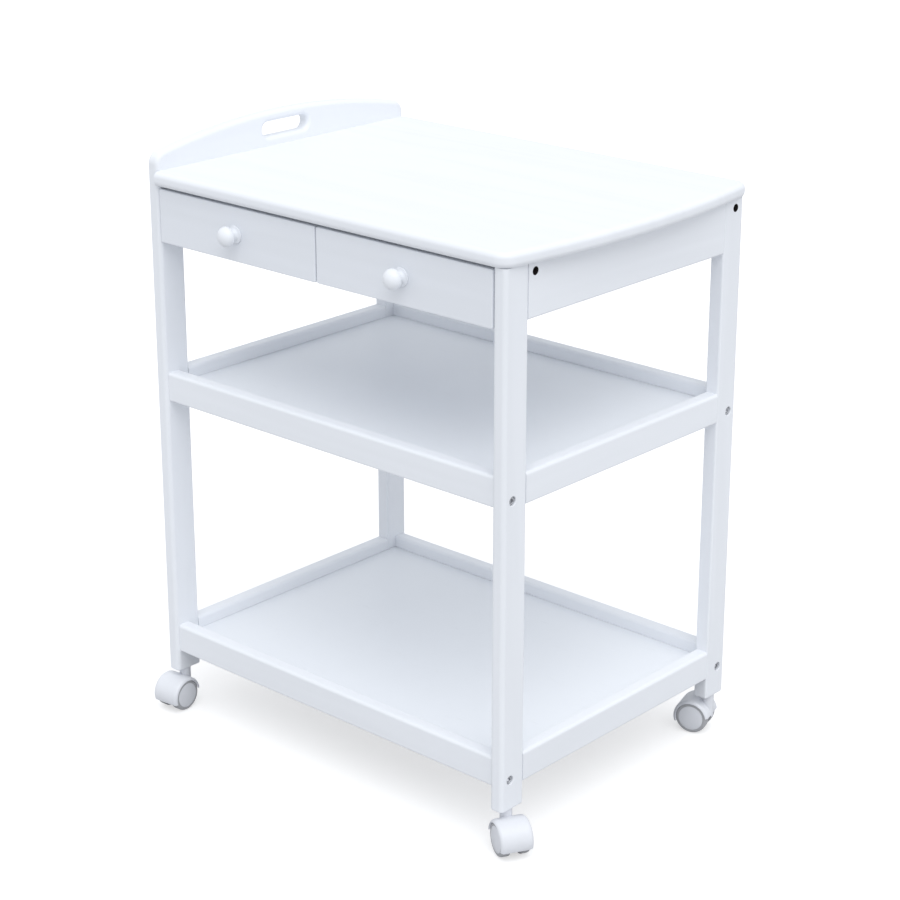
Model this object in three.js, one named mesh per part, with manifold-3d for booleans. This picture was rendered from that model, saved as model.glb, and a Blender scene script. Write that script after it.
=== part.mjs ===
// A painted wooden changing table on castors: a round-edged top with a headboard, two drawers and two trays.
// Millimetres, +Z up. The drawers open towards -Y and the headboard stands at the -X end.
import * as THREE from 'three';
import { mergeVertices } from 'three/addons/utils/BufferGeometryUtils.js';
import Module from 'manifold-3d';

const wasm = await Module();
wasm.setup();

// ---------- Driving dimensions ----------

// Over the legs, and the plank that the legs, rails, aprons and headboard are cut from.
const FRAME_LENGTH = 704;
const FRAME_DEPTH = 530;
const PLANK = 23;
const LEG_WIDTH = 46;
const LEG_ARRIS = 7;
const INNER_ARRIS = 3;
const FOOT_ROUND = 2.5;

// Heights above the floor.
const CASTOR_HEIGHT = 64;
const LEG_TOP = 858;
const LOW_TRAY_TOP = 144.5;
const MIDDLE_TRAY_TOP = 565.5;
const APRON_BOTTOM = 780;

// Top slab: straight sides, a bowed foot end, all its free edges rounded over.
const TOP_THICKNESS = 22;
const TOP_OVERHANG = 7;
const TOP_CORNER_REACH = 3;
const TOP_BOW = 25;
const TOP_CORNER_RADIUS = 24;
const TOP_EDGE_ROUND = 8.5;

// Headboard: an arched board with a hand slot.
const HEADBOARD_SIDE_RISE = 46;
const HEADBOARD_ARCH = 30;
const HEADBOARD_CORNER = 20;
const HEADBOARD_ARCH_INSET = 26;
const SLOT_LENGTH = 96;
const SLOT_HEIGHT = 23;
const SLOT_CENTRE_RISE = 48;

// Trays: rails with a floor panel in a groove.
const RAIL_HEIGHT = 46;
const RAIL_SETBACK = 5;
const RAIL_ARRIS = 5;
const FLOOR_DROP = 20;
const FLOOR_THICKNESS = 8;
const GROOVE_DEPTH = 6;
const SEAT_GAP = 0.3;

// Bolts through the legs into the ends of the long rails.
const BOLT_INSET = 18;
const BOLT_RISE = 12.5;
const BOLT_HEAD_RADIUS = 6;
const BOLT_HEAD_DEPTH = 4.5;
const BOLT_HEAD_CHAMFER = 0.8;
const BOLT_SHANK_RADIUS = 2.9;
const BOLT_LENGTH = 52;
const BOLT_SOCKET_RADIUS = 3;
const BOLT_SOCKET_DEPTH = 3;
const COUNTERBORE_RADIUS = 6.8;
const COUNTERBORE_DEPTH = 7;
const DRILL_SPARE = 2;

// Two plain holes bored in the foot end just under the top.
const END_HOLE_RADIUS = 6;
const END_HOLE_DEPTH = 15;
const END_HOLE_DROP = 13.5;
const END_HOLE_FRONT_Y = -205;
const END_HOLE_BACK_Y = 245;

// Drawers: a front board on a grooved box that hangs on hardwood battens.
const FRONT_BOTTOM = 772;
const FRONT_HEIGHT = 81.5;
const FRONT_THICKNESS = 18;
const FRONT_SETBACK = 1;
const FRONT_GAP = 1;
const FRONT_ARRIS = 3;
const FRONT_FACE_ROUND = 2;
const BOX_LENGTH = 440;
const BOX_BOTTOM = 780;
const BOX_HEIGHT = 60;
const BOX_SIDE = 15;
const BOX_CLEARANCE = 8.5;
const BOX_FLOOR_THICKNESS = 5;
const BOX_FLOOR_RISE = 6;
const BOX_ARRIS = 3;
const BOX_BACK_DROP = 2;
const BATTEN_HEIGHT = 12;
const BATTEN_BOTTOM = 805;
const BATTEN_WIDTH = 16;
const BATTEN_SETBACK = 3;
const RUNNER_CLEARANCE = 1;
const DIVIDER_THICKNESS = 16;
const DIVIDER_BOTTOM = 774;
const DIVIDER_GAP = 1.5;

// Knobs: a mushroom turned on a neck that spreads into a round foot.
const KNOB_RADIUS = 15.2;
const KNOB_FOOT_RADIUS = 13.5;
const KNOB_FOOT_THICKNESS = 2;
const KNOB_NECK_RADIUS = 6.5;
const KNOB_NECK_HEIGHT = 10;
const KNOB_HEAD_HEIGHT = 13;
const KNOB_RIM_HEIGHT = 18;
const KNOB_PROJECTION = 29;

// Castors: two wheels on one axle beside a swivel stem, under a hood.
const WHEEL_RADIUS = 25.5;
const WHEEL_WIDTH = 16;
const WHEEL_INNER_FACE = 8.5;
const WHEEL_INNER_ROUND = 2;
const WHEEL_OUTER_ROUND = 3;
const CASTOR_TRAIL = 20;
const HOOD_THICKNESS = 2.7;
const HOOD_GAP = 0.8;
const HOOD_START = -20;
const HOOD_END = 172;
const HOOD_HALF_WIDTH = 25.2;
const WEB_HALF_WIDTH = 7.5;
const HUB_RADIUS = 9;
const HUB_START = 190;
const HUB_END = 320;
const BOSS_RADIUS = 9;
const BOSS_BOTTOM = 44;
const STEM_RADIUS = 5.3;
const STEM_LENGTH = 33.5;
const SOCKET_SPARE = 1;
const LEG_CLEARANCE = 0.5;
const AXLE_RADIUS = 3;
const AXLE_HALF_LENGTH = 21;
const CASTOR_HEADINGS = { front_foot: -28, front_head: -85, back_foot: -163, back_head: 60 };

// ---------- Derived dimensions ----------

const END_X = FRAME_LENGTH / 2;
const SIDE_Y = FRAME_DEPTH / 2;
const INNER_X = END_X - PLANK;
const LEG_INNER_Y = SIDE_Y - LEG_WIDTH;
const LEG_CENTRE_X = END_X - PLANK / 2;
const LEG_CENTRE_Y = SIDE_Y - LEG_WIDTH / 2;
const RAIL_OUTER_Y = SIDE_Y - RAIL_SETBACK;
const RAIL_INNER_Y = RAIL_OUTER_Y - PLANK;
const BOLT_RECESS = COUNTERBORE_DEPTH - BOLT_HEAD_DEPTH - SEAT_GAP;
const TOP_SIDE_Y = SIDE_Y + TOP_OVERHANG;
const TOP_FOOT_X = END_X + TOP_CORNER_REACH + TOP_BOW;
const FRONT_FACE_Y = -SIDE_Y + FRONT_SETBACK;
const FRONT_BACK_Y = FRONT_FACE_Y + FRONT_THICKNESS;

const CORNERS = {
  front_foot: { x: 1, y: -1 },
  front_head: { x: -1, y: -1 },
  back_foot: { x: 1, y: 1 },
  back_head: { x: -1, y: 1 },
};

const X_AXIS = new THREE.Vector3(1, 0, 0);
const Y_AXIS = new THREE.Vector3(0, 1, 0);
const Z_AXIS = new THREE.Vector3(0, 0, 1);

// ---------- Finishes ----------

function finish(color, roughness, metalness) {
  return new THREE.MeshStandardMaterial({ color, roughness, metalness });
}

const WHITE_PAINT = finish(0xecf0f6, 0.42, 0);
const DRAWER_PAINT = finish(0xe4e8f0, 0.42, 0);
const CASTOR_PLASTIC = finish(0xd8dae0, 0.38, 0);
const STEEL = finish(0x8f939b, 0.35, 1);

// ---------- Shape helpers ----------

/** An outline through corners [x, y, radius], each rounded by a true arc of its radius. */
function roundedOutline(corners, arcSteps = 4) {
  const points = [];
  corners.forEach(([x, y, radius = 0], index) => {
    const here = new THREE.Vector2(x, y);
    const [beforeX, beforeY] = corners.at(index - 1);
    const [afterX, afterY] = corners[(index + 1) % corners.length];
    if (radius === 0) {
      points.push(here);
      return;
    }
    const toBefore = new THREE.Vector2(beforeX, beforeY).sub(here).normalize();
    const toAfter = new THREE.Vector2(afterX, afterY).sub(here).normalize();
    const halfAngle = Math.acos(toBefore.dot(toAfter)) / 2;
    const start = here.clone().addScaledVector(toBefore, radius / Math.tan(halfAngle));
    const toCentre = toBefore.clone().add(toAfter).normalize();
    const centre = here.clone().addScaledVector(toCentre, radius / Math.sin(halfAngle));
    const turn = (Math.PI - 2 * halfAngle) * (toBefore.cross(toAfter) < 0 ? 1 : -1);
    for (let step = 0; step <= arcSteps; step += 1) {
      points.push(start.clone().rotateAround(centre, (turn * step) / arcSteps));
    }
  });
  return new THREE.Shape(points);
}

/** A rectangle between two corners, each of its own radius, counter-clockwise from the low one. */
function roundedRectangle(lowX, lowY, highX, highY, radii, arcSteps) {
  const corners = [[lowX, lowY], [highX, lowY], [highX, highY], [lowX, highY]];
  return roundedOutline(corners.map(([x, y], index) => [x, y, radii[index]]), arcSteps);
}

/** A prism of the shape, its ends rounded over by `round`, from 0 to `length` along its third axis. */
function prism(shape, length, round = 0, roundSteps = 3) {
  const geometry = new THREE.ExtrudeGeometry(shape, {
    depth: length - 2 * round,
    steps: 1,
    bevelEnabled: round > 0,
    bevelThickness: round,
    bevelSize: round,
    bevelOffset: -round,
    bevelSegments: roundSteps,
    curveSegments: 1,
  });
  return geometry.translate(0, 0, round);
}

/** Turns a prism of a Y-Z profile so that it runs from x = 0 along +X. */
function alongX(geometry) {
  return geometry.applyMatrix4(new THREE.Matrix4().makeBasis(Y_AXIS, Z_AXIS, X_AXIS));
}

/** Turns a prism of an X-Z profile so that it runs from y = 0 along -Y. */
function alongMinusY(geometry) {
  return geometry.applyMatrix4(new THREE.Matrix4().makeBasis(X_AXIS, Z_AXIS, Y_AXIS.clone().negate()));
}

/** A closed geometry as a manifold solid, for cutting and joining. */
function toSolid(geometry) {
  const bare = geometry.clone();
  bare.deleteAttribute('normal');
  bare.deleteAttribute('uv');
  const merged = mergeVertices(bare, 1e-3);
  const vertProperties = Float32Array.from(merged.attributes.position.array);
  const triVerts = Uint32Array.from(merged.index.array);
  return new wasm.Manifold(new wasm.Mesh({ numProp: 3, vertProperties, triVerts }));
}

/** A manifold solid as a geometry again. */
function toGeometry(solid) {
  const { vertProperties, triVerts } = solid.getMesh();
  const geometry = new THREE.BufferGeometry();
  geometry.setAttribute('position', new THREE.BufferAttribute(vertProperties, 3));
  geometry.setIndex(new THREE.BufferAttribute(triVerts, 1));
  geometry.computeVertexNormals();
  return geometry;
}

function subtract(geometry, ...tools) {
  return toGeometry(tools.reduce((solid, tool) => solid.subtract(toSolid(tool)), toSolid(geometry)));
}

function join(geometry, ...others) {
  return toGeometry(others.reduce((solid, other) => solid.add(toSolid(other)), toSolid(geometry)));
}

/** A box between two corners. */
function block(lowX, lowY, lowZ, highX, highY, highZ) {
  const box = new THREE.BoxGeometry(highX - lowX, highY - lowY, highZ - lowZ);
  return box.translate((lowX + highX) / 2, (lowY + highY) / 2, (lowZ + highZ) / 2);
}

/** A cylinder from z = low to high, upright on (x, y). */
function uprightCylinder(radius, x, y, low, high, sides = 16) {
  const cylinder = new THREE.CylinderGeometry(radius, radius, high - low, sides);
  return cylinder.rotateX(Math.PI / 2).translate(x, y, (low + high) / 2);
}

/** A cylinder along X from x = low to high, centred on (y, z). */
function lengthwiseCylinder(radius, y, z, low, high, sides = 16) {
  const cylinder = new THREE.CylinderGeometry(radius, radius, high - low, sides);
  return cylinder.rotateZ(Math.PI / 2).translate((low + high) / 2, y, z);
}

/** A cylinder along Y, centred on (x, z), from y = -half to half. */
function crosswiseCylinder(radius, x, z, half, sides = 16) {
  return new THREE.CylinderGeometry(radius, radius, 2 * half, sides).translate(x, 0, z);
}

/** A named mesh at a position. */
function part(name, geometry, material, x = 0, y = 0, z = 0) {
  const mesh = new THREE.Mesh(geometry, material);
  mesh.name = name;
  mesh.position.set(x, y, z);
  return mesh;
}

// ---------- Legs ----------

function boltHeights() {
  return [LOW_TRAY_TOP, MIDDLE_TRAY_TOP].map((top) => top - RAIL_HEIGHT + BOLT_RISE);
}

/** A leg, with the castor's socket in its foot and a counterbored bolt hole at each tray. */
function leg(corner) {
  const spare = 20;
  const outer = corner.y * SIDE_Y;
  const inner = corner.y * LEG_INNER_Y;
  const outline = roundedRectangle(
    -PLANK / 2, Math.min(outer, inner), PLANK / 2, Math.max(outer, inner),
    corner.y < 0 ? [LEG_ARRIS, LEG_ARRIS, INNER_ARRIS, INNER_ARRIS]
      : [INNER_ARRIS, INNER_ARRIS, LEG_ARRIS, LEG_ARRIS],
  );
  const length = LEG_TOP - CASTOR_HEIGHT + spare;
  const plank = prism(outline, length, FOOT_ROUND, 2).translate(0, 0, CASTOR_HEIGHT);
  const outFace = corner.x * (PLANK / 2);
  const tools = [
    block(-PLANK, -FRAME_DEPTH, LEG_TOP, PLANK, FRAME_DEPTH, LEG_TOP + 2 * spare),
    uprightCylinder(
      STEM_RADIUS + SEAT_GAP, 0, corner.y * LEG_CENTRE_Y,
      CASTOR_HEIGHT - spare, CASTOR_HEIGHT + STEM_LENGTH + SOCKET_SPARE,
    ),
  ];
  for (const height of boltHeights()) {
    const y = corner.y * (SIDE_Y - BOLT_INSET);
    const floor = outFace - corner.x * COUNTERBORE_DEPTH;
    const mouth = outFace + corner.x * spare;
    tools.push(lengthwiseCylinder(BOLT_SHANK_RADIUS + SEAT_GAP, y, height, -PLANK, PLANK, 12));
    tools.push(lengthwiseCylinder(
      COUNTERBORE_RADIUS, y, height, Math.min(floor, mouth), Math.max(floor, mouth), 20,
    ));
  }
  if (corner.x > 0 && corner.y > 0) {
    tools.push(endHole(END_HOLE_BACK_Y).translate(-LEG_CENTRE_X, 0, 0));
  }
  return subtract(plank, ...tools);
}

function endHole(y) {
  return lengthwiseCylinder(
    END_HOLE_RADIUS, y, LEG_TOP - END_HOLE_DROP, END_X - END_HOLE_DEPTH, END_X + PLANK,
  );
}

function legs() {
  const group = new THREE.Group();
  for (const [name, corner] of Object.entries(CORNERS)) {
    group.add(part(`leg_${name}`, leg(corner), WHITE_PAINT, corner.x * LEG_CENTRE_X));
  }
  return group;
}

// ---------- Bolts ----------

/** A socket-head bolt along +X, its head's face at x = 0 and its shank towards -X. */
function bolt() {
  const profile = [
    [0, 0], [BOLT_HEAD_RADIUS - BOLT_HEAD_CHAMFER, 0],
    [BOLT_HEAD_RADIUS, BOLT_HEAD_CHAMFER], [BOLT_HEAD_RADIUS, BOLT_HEAD_DEPTH],
    [BOLT_SHANK_RADIUS, BOLT_HEAD_DEPTH], [BOLT_SHANK_RADIUS, BOLT_LENGTH], [0, BOLT_LENGTH],
  ].map(([radius, depth]) => new THREE.Vector2(radius, -depth)).reverse();
  const turned = new THREE.LatheGeometry(profile, 12);
  const socket = new THREE.CylinderGeometry(BOLT_SOCKET_RADIUS, BOLT_SOCKET_RADIUS, 2 * BOLT_SOCKET_DEPTH, 6);
  return subtract(turned, socket).rotateZ(-Math.PI / 2);
}

function bolts() {
  const group = new THREE.Group();
  for (const [name, corner] of Object.entries(CORNERS)) {
    boltHeights().forEach((height, level) => {
      const y = corner.y * (SIDE_Y - BOLT_INSET);
      const label = `bolt_${level === 0 ? 'low' : 'middle'}_${name}`;
      const mesh = part(label, bolt(), STEEL, corner.x * (END_X - BOLT_RECESS), y, height);
      mesh.rotation.z = corner.x > 0 ? 0 : Math.PI;
      group.add(mesh);
    });
  }
  return group;
}

// ---------- Top, headboard and aprons ----------

/** The top's outline: square at the headboard, an arc between two rounded corners at the foot end. */
function topOutline() {
  const cornerX = END_X + TOP_CORNER_REACH;
  const arcRadius = (TOP_SIDE_Y ** 2 + TOP_BOW ** 2) / (2 * TOP_BOW);
  const centreX = TOP_FOOT_X - arcRadius;
  const halfSweep = Math.asin((TOP_SIDE_Y - TOP_CORNER_RADIUS) / arcRadius);
  const arcSteps = 14;
  const bow = [];
  for (let step = 1; step < arcSteps; step += 1) {
    const angle = -halfSweep + (2 * halfSweep * step) / arcSteps;
    bow.push([centreX + arcRadius * Math.cos(angle), arcRadius * Math.sin(angle)]);
  }
  const start = -INNER_X - 2 * TOP_EDGE_ROUND;
  return roundedOutline([
    [start, -TOP_SIDE_Y], [cornerX, -TOP_SIDE_Y, TOP_CORNER_RADIUS], ...bow,
    [cornerX, TOP_SIDE_Y, TOP_CORNER_RADIUS], [start, TOP_SIDE_Y],
  ], 6);
}

function tableTop() {
  const slab = prism(topOutline(), TOP_THICKNESS, TOP_EDGE_ROUND, 4);
  const headEnd = block(-FRAME_LENGTH, -FRAME_DEPTH, -1, -INNER_X, FRAME_DEPTH, TOP_THICKNESS + 1);
  return part('table_top', subtract(slab, headEnd), WHITE_PAINT, 0, 0, LEG_TOP);
}

/** The hand slot's outline in Y-Z, a bar with half-round ends. */
function slotOutline() {
  const halfHeight = SLOT_HEIGHT / 2;
  const radii = Array(4).fill(halfHeight - 0.01);
  return roundedRectangle(
    -SLOT_LENGTH / 2, SLOT_CENTRE_RISE - halfHeight, SLOT_LENGTH / 2, SLOT_CENTRE_RISE + halfHeight, radii, 5,
  );
}

/** The headboard's outline in Y-Z above the leg tops, with a spare strip below that is sawn off. */
function headboardOutline(spare) {
  const arcRadius = (SIDE_Y ** 2 + HEADBOARD_ARCH ** 2) / (2 * HEADBOARD_ARCH);
  const peak = HEADBOARD_SIDE_RISE + HEADBOARD_ARCH;
  const halfSweep = Math.asin((SIDE_Y - HEADBOARD_ARCH_INSET) / arcRadius);
  const arcSteps = 14;
  const arch = [];
  for (let step = 0; step <= arcSteps; step += 1) {
    const angle = halfSweep - (2 * halfSweep * step) / arcSteps;
    arch.push([arcRadius * Math.sin(angle), peak - arcRadius * (1 - Math.cos(angle))]);
  }
  return roundedOutline([
    [-SIDE_Y, -spare], [SIDE_Y, -spare], [SIDE_Y, HEADBOARD_SIDE_RISE, HEADBOARD_CORNER], ...arch,
    [-SIDE_Y, HEADBOARD_SIDE_RISE, HEADBOARD_CORNER],
  ], 6);
}

function headboard() {
  const spare = 20;
  const outline = headboardOutline(spare);
  outline.holes.push(new THREE.Path(slotOutline().getPoints().reverse()));
  const board = alongX(prism(outline, PLANK, LEG_ARRIS, 3));
  const sawn = block(-PLANK, -FRAME_DEPTH, -2 * spare, 2 * PLANK, FRAME_DEPTH, 0);
  return part('headboard', subtract(board, sawn), WHITE_PAINT, -END_X, 0, LEG_TOP);
}

function aprons() {
  const group = new THREE.Group();
  const height = LEG_TOP - APRON_BOTTOM;
  const section = roundedRectangle(0, 0, PLANK, height, [INNER_ARRIS, INNER_ARRIS, 0, 0], 2);
  const span = 2 * LEG_INNER_Y;
  const headApron = alongMinusY(prism(section, span));
  const footApron = subtract(
    alongMinusY(prism(section, span)),
    endHole(END_HOLE_FRONT_Y).translate(-INNER_X, -LEG_INNER_Y, -APRON_BOTTOM),
  );
  const backApron = alongX(prism(section, 2 * INNER_X));
  group.add(
    part('apron_head_end', headApron, WHITE_PAINT, -END_X, LEG_INNER_Y, APRON_BOTTOM),
    part('apron_foot_end', footApron, WHITE_PAINT, INNER_X, LEG_INNER_Y, APRON_BOTTOM),
    part('apron_back', backApron, WHITE_PAINT, -INNER_X, RAIL_INNER_Y, APRON_BOTTOM),
  );
  return group;
}

// ---------- Trays ----------

/** A rail's section, thickness along the first axis: soft arrises and a groove for the floor on one face. */
function railSection(grooveSide) {
  const grooveTop = RAIL_HEIGHT - FLOOR_DROP + SEAT_GAP;
  const grooveBottom = grooveTop - FLOOR_THICKNESS - 2 * SEAT_GAP;
  const face = grooveSide > 0 ? PLANK : 0;
  const groove = [
    [face, grooveBottom], [face - grooveSide * GROOVE_DEPTH, grooveBottom],
    [face - grooveSide * GROOVE_DEPTH, grooveTop], [face, grooveTop],
  ];
  const right = grooveSide > 0 ? groove : [];
  const left = grooveSide > 0 ? [] : groove.reverse();
  return roundedOutline([
    [0, 0, INNER_ARRIS], [PLANK, 0, INNER_ARRIS], ...right,
    [PLANK, RAIL_HEIGHT, RAIL_ARRIS], [0, RAIL_HEIGHT, RAIL_ARRIS], ...left,
  ], 3);
}

/** A front (-1) or back (+1) rail, its ends drilled for the bolts. */
function longRail(side) {
  const length = 2 * INNER_X;
  const boltDepth = BOLT_INSET - RAIL_SETBACK;
  const drillY = side < 0 ? boltDepth : PLANK - boltDepth;
  const radius = BOLT_SHANK_RADIUS + SEAT_GAP;
  const drillDepth = BOLT_RECESS + BOLT_LENGTH - PLANK + DRILL_SPARE;
  return subtract(
    alongX(prism(railSection(-side), length)),
    lengthwiseCylinder(radius, drillY, BOLT_RISE, -1, drillDepth, 12),
    lengthwiseCylinder(radius, drillY, BOLT_RISE, length - drillDepth, length + 1, 12),
  );
}

/** The floor panel, in the grooves of all four rails and notched round the legs. */
function trayFloor() {
  const x = INNER_X + GROOVE_DEPTH - SEAT_GAP;
  const y = RAIL_INNER_Y + GROOVE_DEPTH - SEAT_GAP;
  const notchX = INNER_X - SEAT_GAP;
  const notchY = LEG_INNER_Y - SEAT_GAP;
  const quarter = [[x, 0], [x, notchY], [notchX, notchY], [notchX, y]];
  const back = [...quarter, ...quarter.map(([px, py]) => [-px, py]).reverse()];
  const front = back.map(([px, py]) => [-px, -py]);
  const points = [...back, ...front].filter(([, py], index) => py !== 0 || index > 0);
  return prism(roundedOutline(points), FLOOR_THICKNESS);
}

function tray(name, top) {
  const group = new THREE.Group();
  const bottom = top - RAIL_HEIGHT;
  const endSpan = 2 * LEG_INNER_Y;
  group.add(
    part(`${name}_rail_front`, longRail(-1), WHITE_PAINT, -INNER_X, -RAIL_OUTER_Y, bottom),
    part(`${name}_rail_back`, longRail(1), WHITE_PAINT, -INNER_X, RAIL_INNER_Y, bottom),
    part(
      `${name}_rail_head_end`, alongMinusY(prism(railSection(1), endSpan)),
      WHITE_PAINT, -END_X, LEG_INNER_Y, bottom,
    ),
    part(
      `${name}_rail_foot_end`, alongMinusY(prism(railSection(-1), endSpan)),
      WHITE_PAINT, INNER_X, LEG_INNER_Y, bottom,
    ),
    part(`${name}_floor`, trayFloor(), WHITE_PAINT, 0, 0, top - FLOOR_DROP - FLOOR_THICKNESS),
  );
  return group;
}

// ---------- Drawers ----------

/** A drawer side's X-Z section: a runner groove on the outer face (x = 0) and a floor groove inside. */
function drawerSideSection() {
  const runnerLow = BATTEN_BOTTOM - BOX_BOTTOM - RUNNER_CLEARANCE;
  const runnerHigh = runnerLow + BATTEN_HEIGHT + 2 * RUNNER_CLEARANCE;
  const runnerDepth = BATTEN_WIDTH - BOX_CLEARANCE + RUNNER_CLEARANCE;
  const floorLow = BOX_FLOOR_RISE;
  const floorHigh = floorLow + BOX_FLOOR_THICKNESS + 2 * SEAT_GAP;
  const floorDepth = BOX_FLOOR_THICKNESS;
  return roundedOutline([
    [0, 0], [BOX_SIDE, 0],
    [BOX_SIDE, floorLow], [BOX_SIDE - floorDepth, floorLow],
    [BOX_SIDE - floorDepth, floorHigh], [BOX_SIDE, floorHigh],
    [BOX_SIDE, BOX_HEIGHT, BOX_ARRIS], [0, BOX_HEIGHT, BOX_ARRIS],
    [0, runnerHigh], [runnerDepth, runnerHigh], [runnerDepth, runnerLow], [0, runnerLow],
  ], 2);
}

/** A knob along +Y, its foot at y = 0: a spread foot, a waisted neck and a domed head. */
function knob() {
  const profile = [[0, 0], [KNOB_FOOT_RADIUS, 0], [KNOB_FOOT_RADIUS, KNOB_FOOT_THICKNESS]];
  const flareSteps = 4;
  const flare = KNOB_FOOT_RADIUS - KNOB_NECK_RADIUS;
  for (let step = 1; step <= flareSteps; step += 1) {
    const angle = (Math.PI / 2) * (step / flareSteps);
    const rise = (KNOB_NECK_HEIGHT - KNOB_FOOT_THICKNESS) * (1 - Math.cos(angle));
    profile.push([KNOB_FOOT_RADIUS - flare * Math.sin(angle), KNOB_FOOT_THICKNESS + rise]);
  }
  profile.push([KNOB_NECK_RADIUS, KNOB_HEAD_HEIGHT]);
  const domeSteps = 6;
  for (let step = 0; step <= domeSteps; step += 1) {
    const angle = (Math.PI / 2) * (step / domeSteps);
    const radius = step === domeSteps ? 0 : KNOB_RADIUS * Math.cos(angle);
    profile.push([radius, KNOB_RIM_HEIGHT + (KNOB_PROJECTION - KNOB_RIM_HEIGHT) * Math.sin(angle)]);
  }
  return new THREE.LatheGeometry(profile.map(([radius, height]) => new THREE.Vector2(radius, height)), 20);
}

/** A drawer in its own frame: x from 0 at the outer edge of its bay to the middle of the table. */
function drawer(name, side) {
  const group = new THREE.Group();
  const bay = INNER_X;
  const frontLow = FRONT_GAP;
  const frontWidth = bay - 2 * FRONT_GAP;
  const boxLow = BOX_CLEARANCE;
  const boxHigh = bay - DIVIDER_THICKNESS / 2 - DIVIDER_GAP;
  const floorTop = BOX_BOTTOM + BOX_FLOOR_RISE + BOX_FLOOR_THICKNESS + 2 * SEAT_GAP;
  const backHeight = BOX_BOTTOM + BOX_HEIGHT - BOX_BACK_DROP - floorTop;
  const boxBack = FRONT_BACK_Y + BOX_LENGTH;
  const radii = Array(4).fill(FRONT_ARRIS);
  const face = roundedRectangle(0, 0, frontWidth, FRONT_HEIGHT, radii, 3);
  const board = alongMinusY(prism(face, FRONT_THICKNESS, FRONT_FACE_ROUND));
  const sideBlank = () => alongMinusY(prism(drawerSideSection(), BOX_LENGTH));
  const floorWidth = boxHigh - boxLow - 2 * (BOX_SIDE - BOX_FLOOR_THICKNESS + SEAT_GAP);
  const floorLow = boxLow + BOX_SIDE - BOX_FLOOR_THICKNESS + SEAT_GAP;
  const left = side < 0 ? 'outer_side' : 'inner_side';
  const right = side < 0 ? 'inner_side' : 'outer_side';
  const low = side < 0 ? boxLow : bay - boxHigh;
  const high = side < 0 ? boxHigh : bay - boxLow;
  const rightSide = part(`${name}_${right}`, sideBlank(), DRAWER_PAINT, high, FRONT_BACK_Y, BOX_BOTTOM);
  rightSide.rotation.z = Math.PI;
  group.add(
    part(`${name}_front`, board, DRAWER_PAINT, frontLow, FRONT_BACK_Y, FRONT_BOTTOM),
    part(`${name}_${left}`, sideBlank(), DRAWER_PAINT, low, boxBack, BOX_BOTTOM),
    rightSide,
    part(
      `${name}_back`, block(low + BOX_SIDE, 0, 0, high - BOX_SIDE, BOX_SIDE, backHeight),
      DRAWER_PAINT, 0, boxBack - BOX_SIDE, floorTop,
    ),
    part(
      `${name}_bottom`, block(0, 0, 0, floorWidth, BOX_LENGTH, BOX_FLOOR_THICKNESS),
      DRAWER_PAINT, low - boxLow + floorLow, FRONT_BACK_Y, BOX_BOTTOM + BOX_FLOOR_RISE + SEAT_GAP,
    ),
  );
  const turned = part(
    `${name}_knob`, knob(), WHITE_PAINT, bay / 2, FRONT_FACE_Y, FRONT_BOTTOM + FRONT_HEIGHT / 2,
  );
  turned.rotation.x = Math.PI;
  group.add(turned);
  group.position.x = side < 0 ? -bay : 0;
  return group;
}

/** The board between the drawers, with a batten along each face. */
function drawerDivider() {
  const half = DIVIDER_THICKNESS / 2;
  const reach = half + BATTEN_WIDTH / 2;
  const battenLow = BATTEN_BOTTOM - DIVIDER_BOTTOM;
  const battenHigh = battenLow + BATTEN_HEIGHT;
  const height = LEG_TOP - DIVIDER_BOTTOM;
  const rightSide = [
    [half, 0], [half, battenLow], [reach, battenLow], [reach, battenHigh], [half, battenHigh], [half, height],
  ];
  const outline = [...rightSide, ...rightSide.map(([x, z]) => [-x, z]).reverse()];
  const length = RAIL_INNER_Y - FRONT_BACK_Y - BATTEN_SETBACK;
  const board = alongMinusY(prism(roundedOutline(outline), length));
  return part('drawer_divider', board, DRAWER_PAINT, 0, RAIL_INNER_Y, DIVIDER_BOTTOM);
}

function battens() {
  const group = new THREE.Group();
  const frontY = FRONT_BACK_Y + BATTEN_SETBACK;
  for (const [name, side] of [['head', -1], ['foot', 1]]) {
    const low = side < 0 ? -INNER_X : INNER_X - BATTEN_WIDTH;
    const strip = block(0, 0, 0, BATTEN_WIDTH, RAIL_INNER_Y - frontY, BATTEN_HEIGHT);
    group.add(part(`drawer_batten_${name}_end`, strip, DRAWER_PAINT, low, frontY, BATTEN_BOTTOM));
  }
  return group;
}

// ---------- Castors ----------

/** Points of an arc about the axle, in the castor's X-Z plane, from one angle to another in degrees. */
function axleArc(radius, from, to, steps) {
  const points = [];
  for (let step = 0; step <= steps; step += 1) {
    const angle = THREE.MathUtils.degToRad(from + ((to - from) * step) / steps);
    points.push([CASTOR_TRAIL + radius * Math.cos(angle), WHEEL_RADIUS + radius * Math.sin(angle)]);
  }
  return points;
}

/** A prism of a castor outline in X-Z, centred on the middle of the castor. */
function acrossCastor(points, halfWidth) {
  return alongMinusY(prism(roundedOutline(points), 2 * halfWidth)).translate(0, halfWidth, 0);
}

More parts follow.
